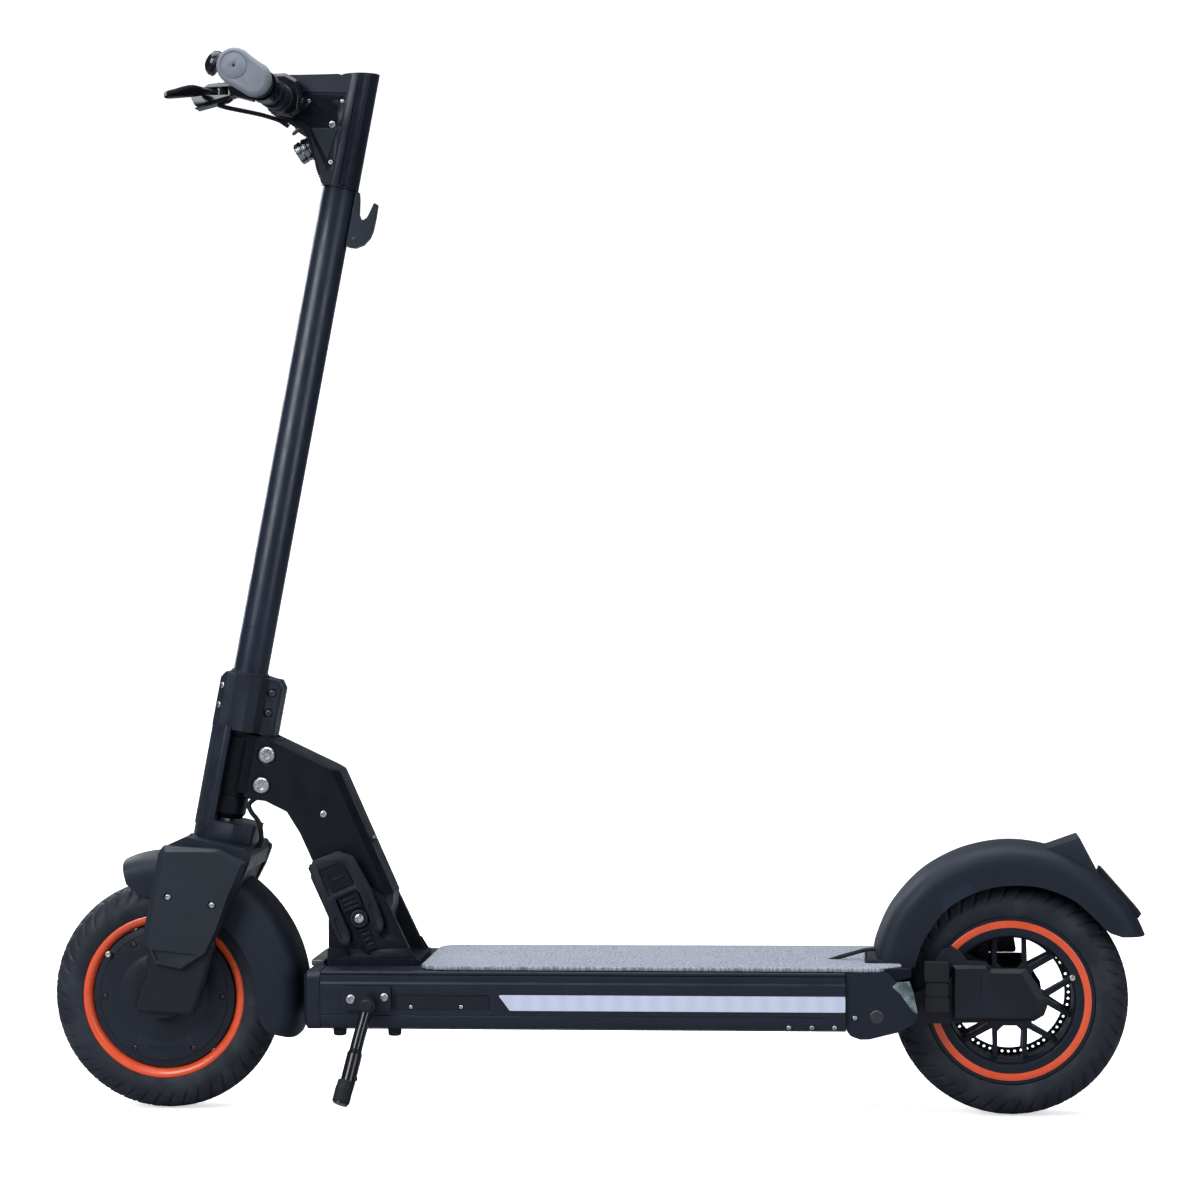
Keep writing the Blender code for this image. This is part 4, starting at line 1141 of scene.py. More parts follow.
def fold_latch():
    outline = arm_outline(
        (-78, -22), (-77, 8), (-65, 21.5), (-24, 25.5), (14, 24.0), (21, 20), (22, 15), (18, 12.5),
        (-28, 12.5), (-31, 9), (-31, -12), (-28, -15.5), (12, -15.5), (20, -19), (21, -25), (15, -29.5),
        (-26, -29.8), (-62, -30.5),
    )
    plate = rounded(outline, 3.5, 4)
    block = arm_outline((-75, -28), (-75, 7), (-64, 19), (-48.5, 19), (-48.5, -28))
    bridge = arm_outline((-73, -30.1), (-73, -27.6), (-50, -27.6), (-50, -30.1))
    window = rounded(arm_outline((-66, -20), (-66, 5), (-60, 11), (-34, 14), (-34, -20)), 3, 4)
    pocket = prism(window, -60, -48.2)
    leg_lines = [
        prism(capsule(*along_arm(-8, 18.5), *along_arm(12, 18.2), 3.2), -60, -49.2),
        prism(capsule(*along_arm(-8, -22.5), *along_arm(11, -22.5), 3.2), -60, -49.2),
    ]
    outer, inner = 43.6, ARM_HALF_WIDTH + 0.4
    cuts = [pocket] + leg_lines
    piece(
        "fold_latch_moulded", "latch", prism(bridge, -46, 46), PLASTIC, ("fold_latch",),
        add=[
            prism(block, -47, -inner), prism(block, inner, 47),
            prism(plate, -51.2, -outer), prism(plate, outer, 51.2),
        ],
        cut=cuts + [mirrored(c) for c in cuts], edge=0.7,
    )
    button = rounded(arm_outline((-62, -16), (-62, 4), (-57, 8.5), (-38, 10.5), (-38, -16)), 2.5, 4)
    rib = prism(arm_outline((-51, -9), (-51, 3), (-48.6, 3), (-48.6, -9)), -51.4, -49)
    both_sides(
        "fold_latch_button", "latch", prism(button, -50.4, -48.4), ARM_PAINT, None, "fold_latch",
        add=[rib], edge=0.6,
    )
    grille = [
        prism(arm_outline((a, -10.5), (a, 6.5), (a + 2.6, 6.5), (a + 2.6, -10.5)), -60, -46.4)
        for a in (-28, -22.5, -17)
    ]
    channel = prism(arm_outline((-33, -13.5), (-33, 10.5), (-12, 10.5), (-12, -13.5)), -47.8, -43.8)
    both_sides("fold_channel_block", "latch", channel, ARM_PAINT, None, "fold_latch", cut=grille, edge=0.5)
    lower = prism(arm_outline((12, -7.5), (12, 5.5), (37, 5.5), (37, -7.5)), -43.2, -39.5)
    bars = [
        prism(arm_outline((a, -5.5), (a, 4.0), (a + 3, 4.0), (a + 3, -5.5)), -60, -41.4)
        for a in (15, 21, 27)
    ]
    both_sides("fold_channel_foot", "deck", lower, ARM_PAINT, None, "fold_bracket", cut=bars, edge=0.5)


def neck():
    lower = [
        (-218, 206), (-230, 190), (-247, 184), (-264, 189), (-275, 201), (-280.5, 232), (-300.5, 277.8),
        (-314, 308), (-328.5, 331.7), (-352.3, 343.5), (-374, 346),
    ]
    middle = rounded(
        [(-361.1, 414.6), (-349.5, 413.4), (-271.5, 376.0), (-213.0, 241.5), (-214.5, 228)] + lower, 6, 4,
    )
    side = rounded(
        [(-361.1, 412.8), (-350.2, 412.0), (-278.9, 377.8), (-219.2, 240.6), (-218.0, 230)] + lower, 6, 4,
    )
    arm = loft([[(x, y, z) for x, z in loop] for y, loop in (
        (-ARM_HALF_WIDTH, side), (-20, middle), (20, middle), (ARM_HALF_WIDTH, side),
    )])
    slot = moved(prism([(26.0, 330), (49.5, 330), (49.5, 440), (20.0, 440)], -17.7, 17.7), STEM)
    bolts = [(-349.8, 394.0), (-356.4, 360.5)]
    bolt_holes = together(*(across(rod(5.3, -50, 50, 24), x, z) for x, z in bolts))
    washers = [((x, -ARM_HALF_WIDTH, z), LEFT, 10.4) for x, z in bolts]
    side_screw = [((-287.8, -ARM_HALF_WIDTH, 329.1), LEFT, 4.0)]
    all_sunk = both_ways(washers + side_screw)
    piece(
        "neck_arm_forged", "neck", arm, ARM_PAINT, ("neck_arm",),
        cut=[slot, bolt_holes, across(rod(7.3, -60, 60), FOLD_X, FOLD_Z), counterbores(all_sunk, 1.3, 0.9)],
        edge=1.3, rows=3, crease=15,
    )
    half = ARM_HALF_WIDTH
    for name, (x, z) in zip(("neck_bolt_upper", "neck_bolt_lower"), bolts):
        bolt = turned(symmetric([
            (0, -half - 2.0), (3.6, -half - 2.0), (4.2, -half - 3.6), (7.6, -half - 3.4),
            (9.0, -half - 2.0), (9.4, -half + 0.3), (5, -half + 0.3),
        ]), 40)
        piece(f"{name}_turned", "neck", across(bolt, x, z), STEEL, (name,), edge=0.2, rows=1)
    screws("neck_side_screws", "neck", sunk(both_ways(side_screw), 0.6), "neck_bolt_upper")
    knob = turned([(0, -1), (3.4, -1), (3.4, 2.2), (2.6, 3.4), (0, 3.4)], 20)
    knob = aimed(knob, (-236.3, -9, 300), (0.92, 0, 0.385))
    piece("neck_stop_pin", "neck", knob, DARK_STEEL, (), "neck_bolt_upper", edge=0.2)

    lug = prism([(12.0, 362), (48.8, 360), (48.8, 427), (12.0, 427)], -17.4, 17.4)
    tube = turned([
        (0, 331), (19.5, 331), (22.6, 336.5), (23.0, 338), (23.0, 354), (22.2, 356), (21.2, 356.4),
        (21.2, 357.8), (21.6, 358.4), (21.6, 422), (21.0, 423), (20.6, 423.6), (20.6, 424.6), (21.4, 425),
        (21.4, 429.3), (0, 429.3),
    ], 72)
    holes = moved(bolt_holes, STEM.inverted())
    piece(
        "head_tube_turned", "neck", tube, ARM_PAINT, ("head_tube",), add=[lug],
        cut=[rod(14, 320, 440, 48), together(rod(17, 320, 339.3), rod(17, 421, 440)), holes], stem=True,
        edge=0.5,
    )


# ---------------------------------------------------------------- fork and stem


def yoke():
    clamp_plan = rounded(symmetric([
        (-29, -14), (-27.5, -20), (-19.5, -28.5), (-9, -31.5), (9, -31.5), (19, -26.5), (26, -17),
        (41.3, -16),
    ]), 2.5, 4)
    low_plan = rounded(symmetric([(-27, -16), (-21, -28), (-8, -34), (20, -34), (41, -26)]), 6, 4)
    strut_plan = rounded(symmetric([(-28.4, -14), (-27, -20), (-19.5, -28.5), (-9, -34), (-3, -34)]), 4, 4)
    front = [((-23.6, y * 24.4, s), (-0.728, y * 0.685, 0), 3.4) for y in (-1, 1) for s in (475.5, 453.5)]
    rear = [((31.0, y * 16.4, s), (0, y, 0), 4.0) for y in (-1, 1) for s in (476.3, 454.0)]
    shoulder = prism([(-40, 500), (-40, 480), (-29.8, 481.5), (-22.5, 490.5), (-22.5, 500)], -60, 60)
    shoulder_back = prism([(60, 500), (60, 478), (42.3, 481), (35.5, 490.5), (30, 492), (30, 500)], -60, 60)
    piece(
        "fork_yoke_cast", "steering", prism(clamp_plan, CLAMP_LOW, CLAMP_HIGH, "Z"), PAINT, ("fork_yoke",),
        add=[prism(strut_plan, 320, 433, "Z"), prism(low_plan, CROWN_TOP + 0.4, 328, "Z")],
        cut=[
            rod(STEM_R + 0.3, 436, 500, 64), rod(23.6, 327.5, CLAMP_LOW + 0.5, 64), rod(12.3, 290, 440),
            box(15, 50, -1.4, 1.4, CLAMP_LOW - 2, 500), shoulder, shoulder_back,
            together(*(aimed(rod(r + 1.6, -2.6, 6, 24), p, d) for p, d, r in rear)),
            together(*(aimed(rod(r + 0.7, -1.6, 6, 24), p, d) for p, d, r in front)),
        ], stem=True, edge=0.9, rows=3,
    )
    heads = [aimed(socket_screw(r), tuple(Vector(p) - Vector(d) * 2.2), d) for p, d, r in rear]
    heads += [aimed(socket_screw(r), tuple(Vector(p) - Vector(d) * 1.2), d) for p, d, r in front]
    front_heads, rear_heads = heads[len(rear):], heads[:len(rear)]
    piece("fork_yoke_screws", "steering", together(*front_heads), STEEL, (), "fork_yoke", stem=True, edge=0)
    piece("clamp_screws", "steering", together(*rear_heads), DARK_STEEL, (), "fork_yoke", stem=True, edge=0)
    collar = turned([(STEM_R + 0.2, 489), (21.4, 489), (21.8, 491.5), (20.6, 494), (STEM_R + 0.2, 494)], 64)
    piece("stem_seal_ring", "steering", collar, RUBBER, (), "rubber_buffer_left", stem=True, edge=0.3)
    tube = turned([
        (16.5, 438), (18.4, 438), (19, 438.6), (19, 1033.4), (18.6, 1034), (18.6, 1092), (16.5, 1092),
    ], 96)
    piece("stem_tube_drawn", "steering", tube, STEM_PAINT, ("stem_tube",), stem=True, edge=0, crease=30)


def fork():
    crown = rounded([
        (-50, 275), (-50, 291), (-27, CROWN_TOP), (42, CROWN_TOP), (48, 300), (46, 282), (0, 270),
    ], 4, 4)
    leg = rounded([
        (-46, 290), (-25, 304), (50, 304), (46, 280), (37, 250), (29, 215), (20, 180), (8, 130), (-8, 110),
        (-24.4, 104), (-40, 108), (-46, 124), (-43, 187), (-46, 250),
    ], 6, 4)
    wheel_room = across(rod(161.6, -46.3, 46.3, 128), AXLE_T, AXLE_S)
    piece(
        "fork_cast", "steering", prism(crown, -57, 57), PAINT, ("fork",),
        add=[prism(leg, -57, -46.9), prism(leg, 46.9, 57)],
        cut=[wheel_room, rod(12.3, 250, 330), across(rod(7.3, -70, 70), AXLE_T, AXLE_S)],
        stem=True, edge=1.2, rows=3,
    )
    skirt = prism(rounded([(10, 285), (46.5, 297), (38.5, 259), (20, 263), (8, 268)], 2), -57, 57)
    piece("fork_skirt", "steering", skirt, COVER, (), "fork", stem=True, edge=0.8)


def fork_covers():
    """The bevelled cover screwed to each leg, and the nose below it that hides the axle's end."""
    outer = [
        (-50.5, 286), (-47, 294.5), (14, 302.5), (46.5, 294.5), (38, 257), (31.5, 218), (23.7, 188.5),
        (-0.5, 164.8), (-31.6, 164.8), (-45.5, 184), (-51, 192),
    ]
    face = [
        (-43.3, 284.5), (-41.5, 289.5), (13.5, 300.5), (43.5, 292.5), (35.2, 257), (29.0, 218.5),
        (21.2, 189.5), (-1.5, 167.4), (-30.8, 167.4), (-41.3, 184.5), (-43.2, 198),
    ]
    shell = loft([
        [(t, y, s) for t, s in loop] for y, loop in ((-57.4, outer), (-65.5, outer), (-73.4, face))
    ])
    cover_screws = [((-30.0, -73.4, 241.5), LEFT, 3.2), ((19.4, -73.4, 242.5), LEFT, 3.2)]
    inset = prism(rounded([(-36.8, 181.8), (15.0, 186.2), (-3.0, 170.6), (-28.5, 170.6)], 1.5, 3), -80, -70.4)
    nose = rounded([(-43.5, 204), (30, 204), (26, 160), (20.2, 118), (-47.4, 108), (-40.5, 160)], 5, 4)
    nose_front = [(-14 + (t + 14) * 0.90, 150 + (s - 150) * 0.93) for t, s in nose]
    nose_shape = loft([
        [(t, y, s) for t, s in loop] for y, loop in ((-57.5, nose), (-63.0, nose), (-66.5, nose_front))
    ])
    both_sides(
        "fork_cover_shell", "steering", shell, COVER, "fork_cover",
        cut=[inset, counterbores(cover_screws, 1.6, 2.0)], stem=True, edge=1.2, rows=3, crease=15,
    )
    both_sides(
        "fork_axle_cover", "steering", nose_shape, PLASTIC, None, "fork_cover_left", stem=True, edge=1.2,
        rows=3,
    )
    heads = [aimed(socket_screw(r), tuple(Vector(p) - Vector(d) * 1.4), d) for p, d, r in cover_screws]
    both_sides(
        "fork_cover_screws", "steering", together(*heads), STEEL, None, "fork_cover_left",
        stem=True, edge=0, crease=30,
    )


def front_axle():
    axle = turned(symmetric([(0, -57), (7, -57), (7, -46.6), (11, -46.6), (11, -33.6), (7, -33.6)]), 32)
    piece(
        "front_axle_turned", "steering", across(axle, AXLE_T, AXLE_S), STEEL, ("front_axle",), stem=True,
        edge=0.3,
    )


# ---------------------------------------------------------------- head block and handlebar


def head_block():
    """The cast block over the stem, with a sunk panel on each side and a seat for each fitting."""
    outline = [
        (-89, 1143.9), (12, 1161.6), (12, HEAD_LOW), (-17.5, HEAD_LOW), (-22.8, 1051), (-37, 1080),
        (-46.5, 1093), (-62, 1098), (-80, 1100), (-90, 1104), (-95, 1117), (-94, 1132),
    ]
    outline = rounded(outline, 3.5, 4)
    to_stem = STEM.inverted()
    back = rod(20.6, HEAD_LOW, 1175, 96)
    level = moved(box(-400, -200, -40, 40, 1139, 1200), to_stem)
    panel = rounded([
        (-323.5, 1121), (-253.0, 1117.6), (-270.8, 1034), (-277.5, 1034), (-297.2, 1080), (-310, 1088),
        (-323, 1096),
    ], 3, 4)
    panel = moved(prism(panel, -30, HEAD_PANEL_Y), to_stem)
    bores = moved(counterbores(HEAD_SCREWS, 0.8, 1.0), to_stem)
    groove = box(2.2, 3.2, -26, -19.0, HEAD_LOW + 4, 1152)
    cuts = [panel, groove]
    piece(
        "stem_head_cast", "steering", prism(outline, -HEAD_HALF_WIDTH, HEAD_HALF_WIDTH), HEAD_SHADED_PAINT,
        ("stem_head",), add=[back], cut=cuts + [mirrored(c) for c in cuts] + [bores, mirrored(bores)] + [
            rod(STEM_R + 0.3, HEAD_LOW - 5, 1092.5, 48),
            moved(on_bar(rod(BAR_R + 0.3, -40, 40)), to_stem),
            moved(aimed(rod(12.9, -4.3, 40), HEADLIGHT_SEAT, HEADLIGHT_AIM), to_stem),
            moved(box(-318.3, -261.7, -17.3, 17.3, 1132.7, 1150), to_stem),
            moved(aimed(rod(6.3, 0, 20, 32), (-245, 0, 1132), (0, 0, 1)), to_stem), level,
        ], stem=True, edge=0.8, rows=3,
    )


def head_inserts():
    """A thin dark sheet of painted shade over the upper part of each side panel of the head, and the raised
    gusset.
    """
    dark = rounded([
        (-322, 1119.5), (-254.8, 1116.3), (-262.0, 1082.0), (-296.0, 1082.6), (-310, 1089.8), (-322, 1097.2),
    ], 2, 3)
    spare = [(spot, way, r + 1.2) for spot, way, r in HEAD_SCREWS]
    # painted shade: a thin dark sheet over the upper part of the panel recess stands in for its shade
    both_sides(
        "stem_head_shade_sheet", "steering", prism(dark, -17.9, -17.3), ARM_PAINT, None, "stem_head",
        cut=[counterbores(spare, 0, 2)], edge=0.15, rows=1,
    )
    gusset = [(-295.5, 1080.5), (-264.5, 1079.5), (-277.5, 1043.0)]
    raised = [(-294.0, 1079.4), (-265.8, 1078.6), (-277.3, 1046.0)]
    facet = loft([[(x, -17.4, z) for x, z in gusset], [(x, -18.8, z) for x, z in raised]])
    both_sides("stem_head_gusset", "steering", facet, COVER, None, "stem_head", edge=0.2)


def bar_clamp():
    """The faceted cheeks that hold the bar beside the head, the head's screws and the display glass."""
    boss = rounded([
        (-318, 1137.5), (-340, 1137), (-350, 1128), (-351, 1114), (-345, 1104.5), (-330, 1094),
        (-312, 1089), (-303, 1094), (-300.5, 1112), (-305, 1130),
    ], 7, 5)
    inner = [(BAR_X + (x - BAR_X) * 0.86, BAR_Z + (z - BAR_Z) * 0.86) for x, z in boss]
    cheek = loft([
        [(x, y, z) for x, z in loop] for y, loop in ((-43, inner), (-39, boss), (-20.1, boss))
    ])
    bore = on_bar(rod(BAR_R + 0.3, -60, 60))
    both_sides("bar_clamp_cheek", "steering", cheek, GLASS, None, "display", cut=[bore], edge=1.2, rows=3)
    screws("stem_head_screws", "steering", sunk(both_ways(HEAD_SCREWS), 0.6), "stem_head")
    bezel = rounded([(-318, -17), (-262, -17), (-262, 17), (-318, 17)], 5)
    piece("display_glass", "steering", prism(bezel, 1133, 1139, "Z"), GLASS, ("display",), edge=1.0, rows=3)


def fold_hook():
    hook = rounded([
        (19.4, 1034), (19.4, 974), (29, 974.5), (37.4, 979.5), (43, 988), (45, 997), (45.4, 1012),
        (45, 1026), (41.5, 1027), (39.0, 1017), (37, 1010), (33.5, 1006.2), (29.5, 1006.6), (26.5, 1011.5),
        (24, 1028), (22, 1036),
    ], 3, 4)
    piece(
        "fold_hook_forged", "steering", prism(hook, -7, 7), PAINT, ("fold_hook",), stem=True, edge=1.4,
        rows=3,
    )
    screws("fold_hook_screws", "steering", [
        (from_stem(27, -7, 984), LEFT, 2.4), (from_stem(27, 7, 984), RIGHT, 2.4),
    ], "fold_hook", DARK_STEEL)


def headlight():
    barrel = turned([
        (0, -4), (11.8, -4), (11.8, 3.2), (12.5, 3.6), (12.5, 7.6), (11.8, 8.2), (11.8, 9.6), (12.5, 10.2),
        (12.5, 15.8), (11.6, 17.2), (10.6, 17.2), (10.2, 15.0), (0, 15.0),
    ], 64)
    piece(
        "headlight_barrel", "steering", aimed(barrel, HEADLIGHT_SEAT, HEADLIGHT_AIM), CHROME,
        ("headlight",), edge=0.3,
    )
    lens = turned([(0, 15.1), (10.3, 15.1), (9.6, 16.2), (7, 17.0), (3, 17.4), (0, 17.4)], 48)
    piece(
        "headlight_lens", "steering", aimed(lens, HEADLIGHT_SEAT, HEADLIGHT_AIM), STRIP, (), "headlight",
        edge=0, crease=40,
    )


def grip_loop(y, radius, palm_x, palm_z, palm_r):
    """The hull of the round barrel and the palm rest behind it."""
    slope = math.degrees(math.atan2(palm_z - BAR_Z, palm_x - BAR_X))
    barrel = arc(BAR_X, BAR_Z, radius, 20, slope + 90, slope + 270)
    palm = arc(palm_x, palm_z, palm_r, 20, slope - 90, slope + 90)
    return [(x, y, z) for x, z in barrel + palm]


def grips():
    stations = [
        (-GRIP_OUT, 14.6, -305.4, 1096.2, 12.6), (-GRIP_OUT + 0.8, 16.6, -304.4, 1095.4, 14.6),
        (-GRIP_OUT + 3, 18.3, -303.6, 1094.8, 16.4), (-GRIP_OUT + 6, 18.7, -303.4, 1094.6, 16.8),
        (-250, 18.4, -305.5, 1097.6, 16.6), (-232, 17.6, -308.8, 1101.5, 16.2),
        (-214, 16.8, -312.6, 1105.0, 15.8), (-198, 16.4, -317.0, 1108.0, 15.6),
        (-192, 16.2, -319.0, 1109.0, 15.6),
    ]
    loops = []
    for low, high in zip(stations, stations[1:]):
        spans = max(1, int(abs(high[0] - low[0]) / 5))
        for k in range(spans):
            f = k / spans
            loops.append(grip_loop(*(a + (b - a) * f for a, b in zip(low, high))))
    loops.append(grip_loop(*stations[-1]))
    sleeve = [(BAR_R + 0.3, -191.6), (15.4, -191.6)]
    for k in range(9):
        y = -189.5 + 4.4 * k
        sleeve += [(15.6, y), (15.6, y + 2.2), (14.6, y + 2.6), (14.6, y + 4.0)]
    sleeve += [(15.4, -GRIP_IN - 1), (BAR_R + 0.3, -GRIP_IN)]
    bore = on_bar(rod(BAR_R + 0.3, -BAR_END - 0.3, -100))
    dimple = on_bar(rod(1.6, -280, -266, 20))
    ring = on_bar(pipe(13.2, 14.0, -280, -GRIP_OUT + 0.6, 48))
    both_sides(
        "grip_moulded", "steering", loft(loops), GRIP, "grip", cut=[bore, dimple, ring], edge=0.2, rows=1,
        crease=40,
    )
    sleeve = on_bar(turned(sleeve, 48))
    both_sides("grip_sleeve", "steering", sleeve, PLASTIC, None, "handlebar", edge=0.2, rows=1)


def handlebar():
    bar = on_bar(pipe(BAR_R - 2.2, BAR_R, -BAR_END, BAR_END, 64))
    piece("handlebar_tube", "steering", bar, STEM_PAINT, ("handlebar",), edge=0.4)
    bore = BAR_R + 0.1
    collar = [(bore, 0), (14.6, 0), (15.6, 1), (15.6, 9), (14.6, 10), (bore, 10)]
    collars = together(*(
        on_bar(turned([(r, y + along) for r, along in collar], 48)) for y in (-54, 44)
    ))
    piece("handlebar_collars", "steering", collars, PAINT, (), "handlebar", edge=0.3)
    grips()
    clamp = on_bar(pipe(BAR_R + 0.3, 17, -142, -120, 48))
    arm = prism(rounded([
        (-399, 1098.5), (-394.3, 1088.5), (-368, 1094.5), (-352, 1099), (-338, 1095), (-334, 1094),
        (-334, 1112), (-346, 1115), (-364, 1113), (-380, 1111.5),
    ], 2.0), -141, -121)
    mouth = box(-405, -358.5, -150, -124.5, 1099.8, 1108.2)
    piece(
        "brake_perch_cast", "steering", clamp, GLASS, ("brake_perch",), add=[arm],
        cut=[mouth, on_bar(rod(BAR_R + 0.3, -150, -110))], edge=0.7,
    )
    plate = rounded([(-395.5, 1087.0), (-394.0, 1085.6), (-362, 1093.4), (-356, 1097.6), (-368, 1094.2)], 1)
    plate = prism(plate, -140, -122)
    piece("brake_perch_plate", "steering", plate, GLASS, (), "brake_perch", edge=0.4)
    pin = aimed(rod(3.0, 0, 19, 24), (-368, -131, 1094.5), (0, 0, 1))
    cap = aimed(socket_screw(4.0, 2.0), (-368, -131, 1113.0), (0, 0, 1))
    piece("brake_perch_pin", "steering", together(pin, cap), STEEL, (), "brake_perch", edge=0, crease=30)
    housing = turned([
        (BAR_R + 0.3, 112), (16, 112), (18.4, 114), (19, 116), (19, 126), (18, 127), (18, 128), (19, 129),
        (19, 137), (17.5, 139.6), (BAR_R + 0.3, 139.6),
    ], 56)
    piece("throttle_housing_moulded", "steering", on_bar(housing), PLASTIC, ("throttle_housing",), edge=0.4)
    bell()


def bell():
    ring = on_bar(pipe(BAR_R + 0.3, 15.5, -114, -102, 40))
    stalk = [(-336.6, 1108), (-356, 1117), (-376, 1130), (-372, 1139), (-352, 1131), (-333, 1121)]
    stalk = prism(rounded(stalk, 3), -112, -104)
    lever_ring = on_bar(pipe(BAR_R + 0.3, 15.5, -80, -66, 40))
    bridge = box(-339, -335.2, -106, -74, 1104, 1114)
    lug = capsule(-334.2, 1120.5, *BELL_PIVOT, 3.4)
    lugs = together(prism(lug, -79.6, -76.0), prism(lug, -68.5, -66.2))
    pin = across(rod(1.3, -79, -67, 20), *BELL_PIVOT)
    piece(
        "bell_mount", "steering", ring, PLASTIC, (), "bell", add=[stalk, lever_ring, bridge, lugs, pin],
        edge=0.5,
    )
    dome = turned([
        (0, 0), (11, 0), (13.2, 0.6), (13.8, 2.2), (13.4, 3.0), (13.9, 3.8), (13.7, 6), (12.4, 9.4),
        (9.6, 12.2), (5.4, 14), (2.2, 14.5), (2.2, 15.4), (0, 15.4),
    ], 48)
    piece(
        "bell_dome", "steering", aimed(dome, (-376, -108, 1136.5), (-0.88, -0.05, 0.47)), GLASS, ("bell",),
        edge=0.2,
    )


def controls():
    stations = [
        ((-368, -131, 1104), 6.2, 3.3), ((-380, -138, 1104), 4.4, 3.4), ((-388, -149, 1103), 3.4, 5.2),
        ((-392, -165, 1101), 3.2, 6.4), ((-396, -185, 1097), 3.2, 6.0), ((-399, -208, 1092), 3.3, 5.0),
        ((-401, -226, 1088.4), 3.5, 4.4), ((-401.4, -235, 1086.8), 3.0, 3.6),
    ]
    centres = smooth_path([centre for centre, _, _ in stations], 6)
    sizes = smooth_path([(wide, tall, 0) for _, wide, tall in stations], 6)
    loops = []
    for i, (centre, size) in enumerate(zip(centres, sizes)):
        ahead = centres[min(i + 1, len(centres) - 1)] - centres[max(i - 1, 0)]
        side = Vector((ahead.y, -ahead.x, 0)).normalized()
        loops.append([
            centre + side * size.x * math.copysign(abs(math.cos(a)) ** 0.8, math.cos(a))
            + Vector((0, 0, size.y * math.copysign(abs(math.sin(a)) ** 0.7, math.sin(a))))
            for a in full_circle(24)
        ])
    boss = aimed(rod(7.4, 1100.6, 1107.4, 36), (-368, -131, 0), (0, 0, 1))
    hole = aimed(rod(3.4, 1080, 1120, 24), (-368, -131, 0), (0, 0, 1))
    piece(
        "brake_lever_forged", "brake_lever", boss, GLASS, ("brake_lever",), add=[loft(loops)], cut=[hole],
        edge=0.5, crease=40,
    )
    ring = on_bar(pipe(BAR_R + 0.3, 16, 140, 149.6, 40))
    tab = [(-322, 1096), (-309, 1072), (-302, 1069.6), (-297, 1072), (-296.5, 1077), (-310, 1101)]
    tab = prism(rounded(tab, 2.5), 140.4, 149.2)
    piece("throttle_paddle_moulded", "throttle", ring, PLASTIC, ("throttle_paddle",), add=[tab], edge=0.7)
    button = turned(
        [(0, 1134.4), (6.0, 1134.4), (6.0, 1137.8), (5.2, 1138.5), (4.0, 1138.3), (0, 1138.3)], 40,
    )
    piece(
        "power_button_moulded", "power_button", aimed(button, (-245, 0, 0), (0, 0, 1)), RUBBER,
        ("power_button",), edge=0.2,
    )
    flick = rounded([(-333, 1127), (-350, 1141), (-354, 1141), (-355, 1137.5), (-338, 1122.5)], 1.5)
    flick = prism(flick, -75.5, -69)
    knuckle = across(rod(3.2, -75.3, -69.2, 28), *BELL_PIVOT)
    pin_hole = across(rod(1.5, -90, -50, 20), *BELL_PIVOT)
    piece(
        "bell_lever_moulded", "bell_lever", flick, PLASTIC, ("bell_lever",), add=[knuckle], cut=[pin_hole],
        edge=0.4,
    )


# ---------------------------------------------------------------- kickstand


def kickstand():
    block = rounded([(-258, 124), (-205, 124), (-205, 149), (-258, 149)], 3)
    block = prism(block, STAND_Y + 4.4, -DECK_HALF_WIDTH - 0.3)
    boss = aimed(rod(8.6, -1, 4.6, 32), (STAND_X, STAND_Y + 4.8, STAND_Z), LEFT)
    bolts = [
        ((-248.1, STAND_Y + 4.4, 136.3), LEFT, 5.2),
        ((-211.6, STAND_Y + 4.4, 138.5), LEFT, 4.6),
    ]
    piece(
        "kickstand_bracket_plate", "deck", block, PAINT, ("kickstand_bracket",), add=[boss],
        cut=[box(-262, -256, -110, -80, 120, 128)], edge=0.8,
    )
    screws("kickstand_bolts", "deck", bolts, "kickstand_bracket")
    pin = aimed(turned([(0, -1), (4.0, -1), (4.0, 12.4), (7, 12.6), (7, 15), (5.6, 16), (0, 16)], 28),
                (STAND_X, STAND_Y + 0.5, STAND_Z), LEFT)
    piece("kickstand_pin", "deck", pin, PAINT, (), "kickstand_bracket", edge=0.3)
    knuckle = aimed(rod(9.2, 0.6, 12, 36), (STAND_X, STAND_Y, STAND_Z), LEFT)
    path = smooth_path([
        (-228.6, -107, 130), (-231, -111, 118), (-236, -122, 96), (-240, -131, 76), (-245, -143, 52),
        (-250.6, -152, 34),
    ], 6)

    def taper(f):
        return 6.7 + 1.4 * smoothstep(0.50, 0.53, f)

    foot = turned([(0, 0), (7.6, 0), (8.8, 1.2), (8.8, 7), (9.4, 8), (9.4, 23), (8.2, 25), (0, 25)], 32)
    foot = aimed(foot, (-245.4, -142.4, 57.5), (-0.24, -0.4, -1.1))
    nub = aimed(rod(2.6, 0, 9, 16), (-243, -139, 60), (0.9, -0.3, -0.1))
    bore = aimed(rod(4.3, -5, 20, 24), (STAND_X, STAND_Y, STAND_Z), LEFT)
    piece(
        "kickstand_leg_forged", "kickstand", knuckle, GLASS, ("kickstand_leg",), add=[swept(path, taper, 20)],
        cut=[bore], edge=0.4,
    )
    piece("kickstand_foot", "kickstand", foot, RUBBER, (), "kickstand_leg", add=[nub], edge=0.4)


# ---------------------------------------------------------------- cables


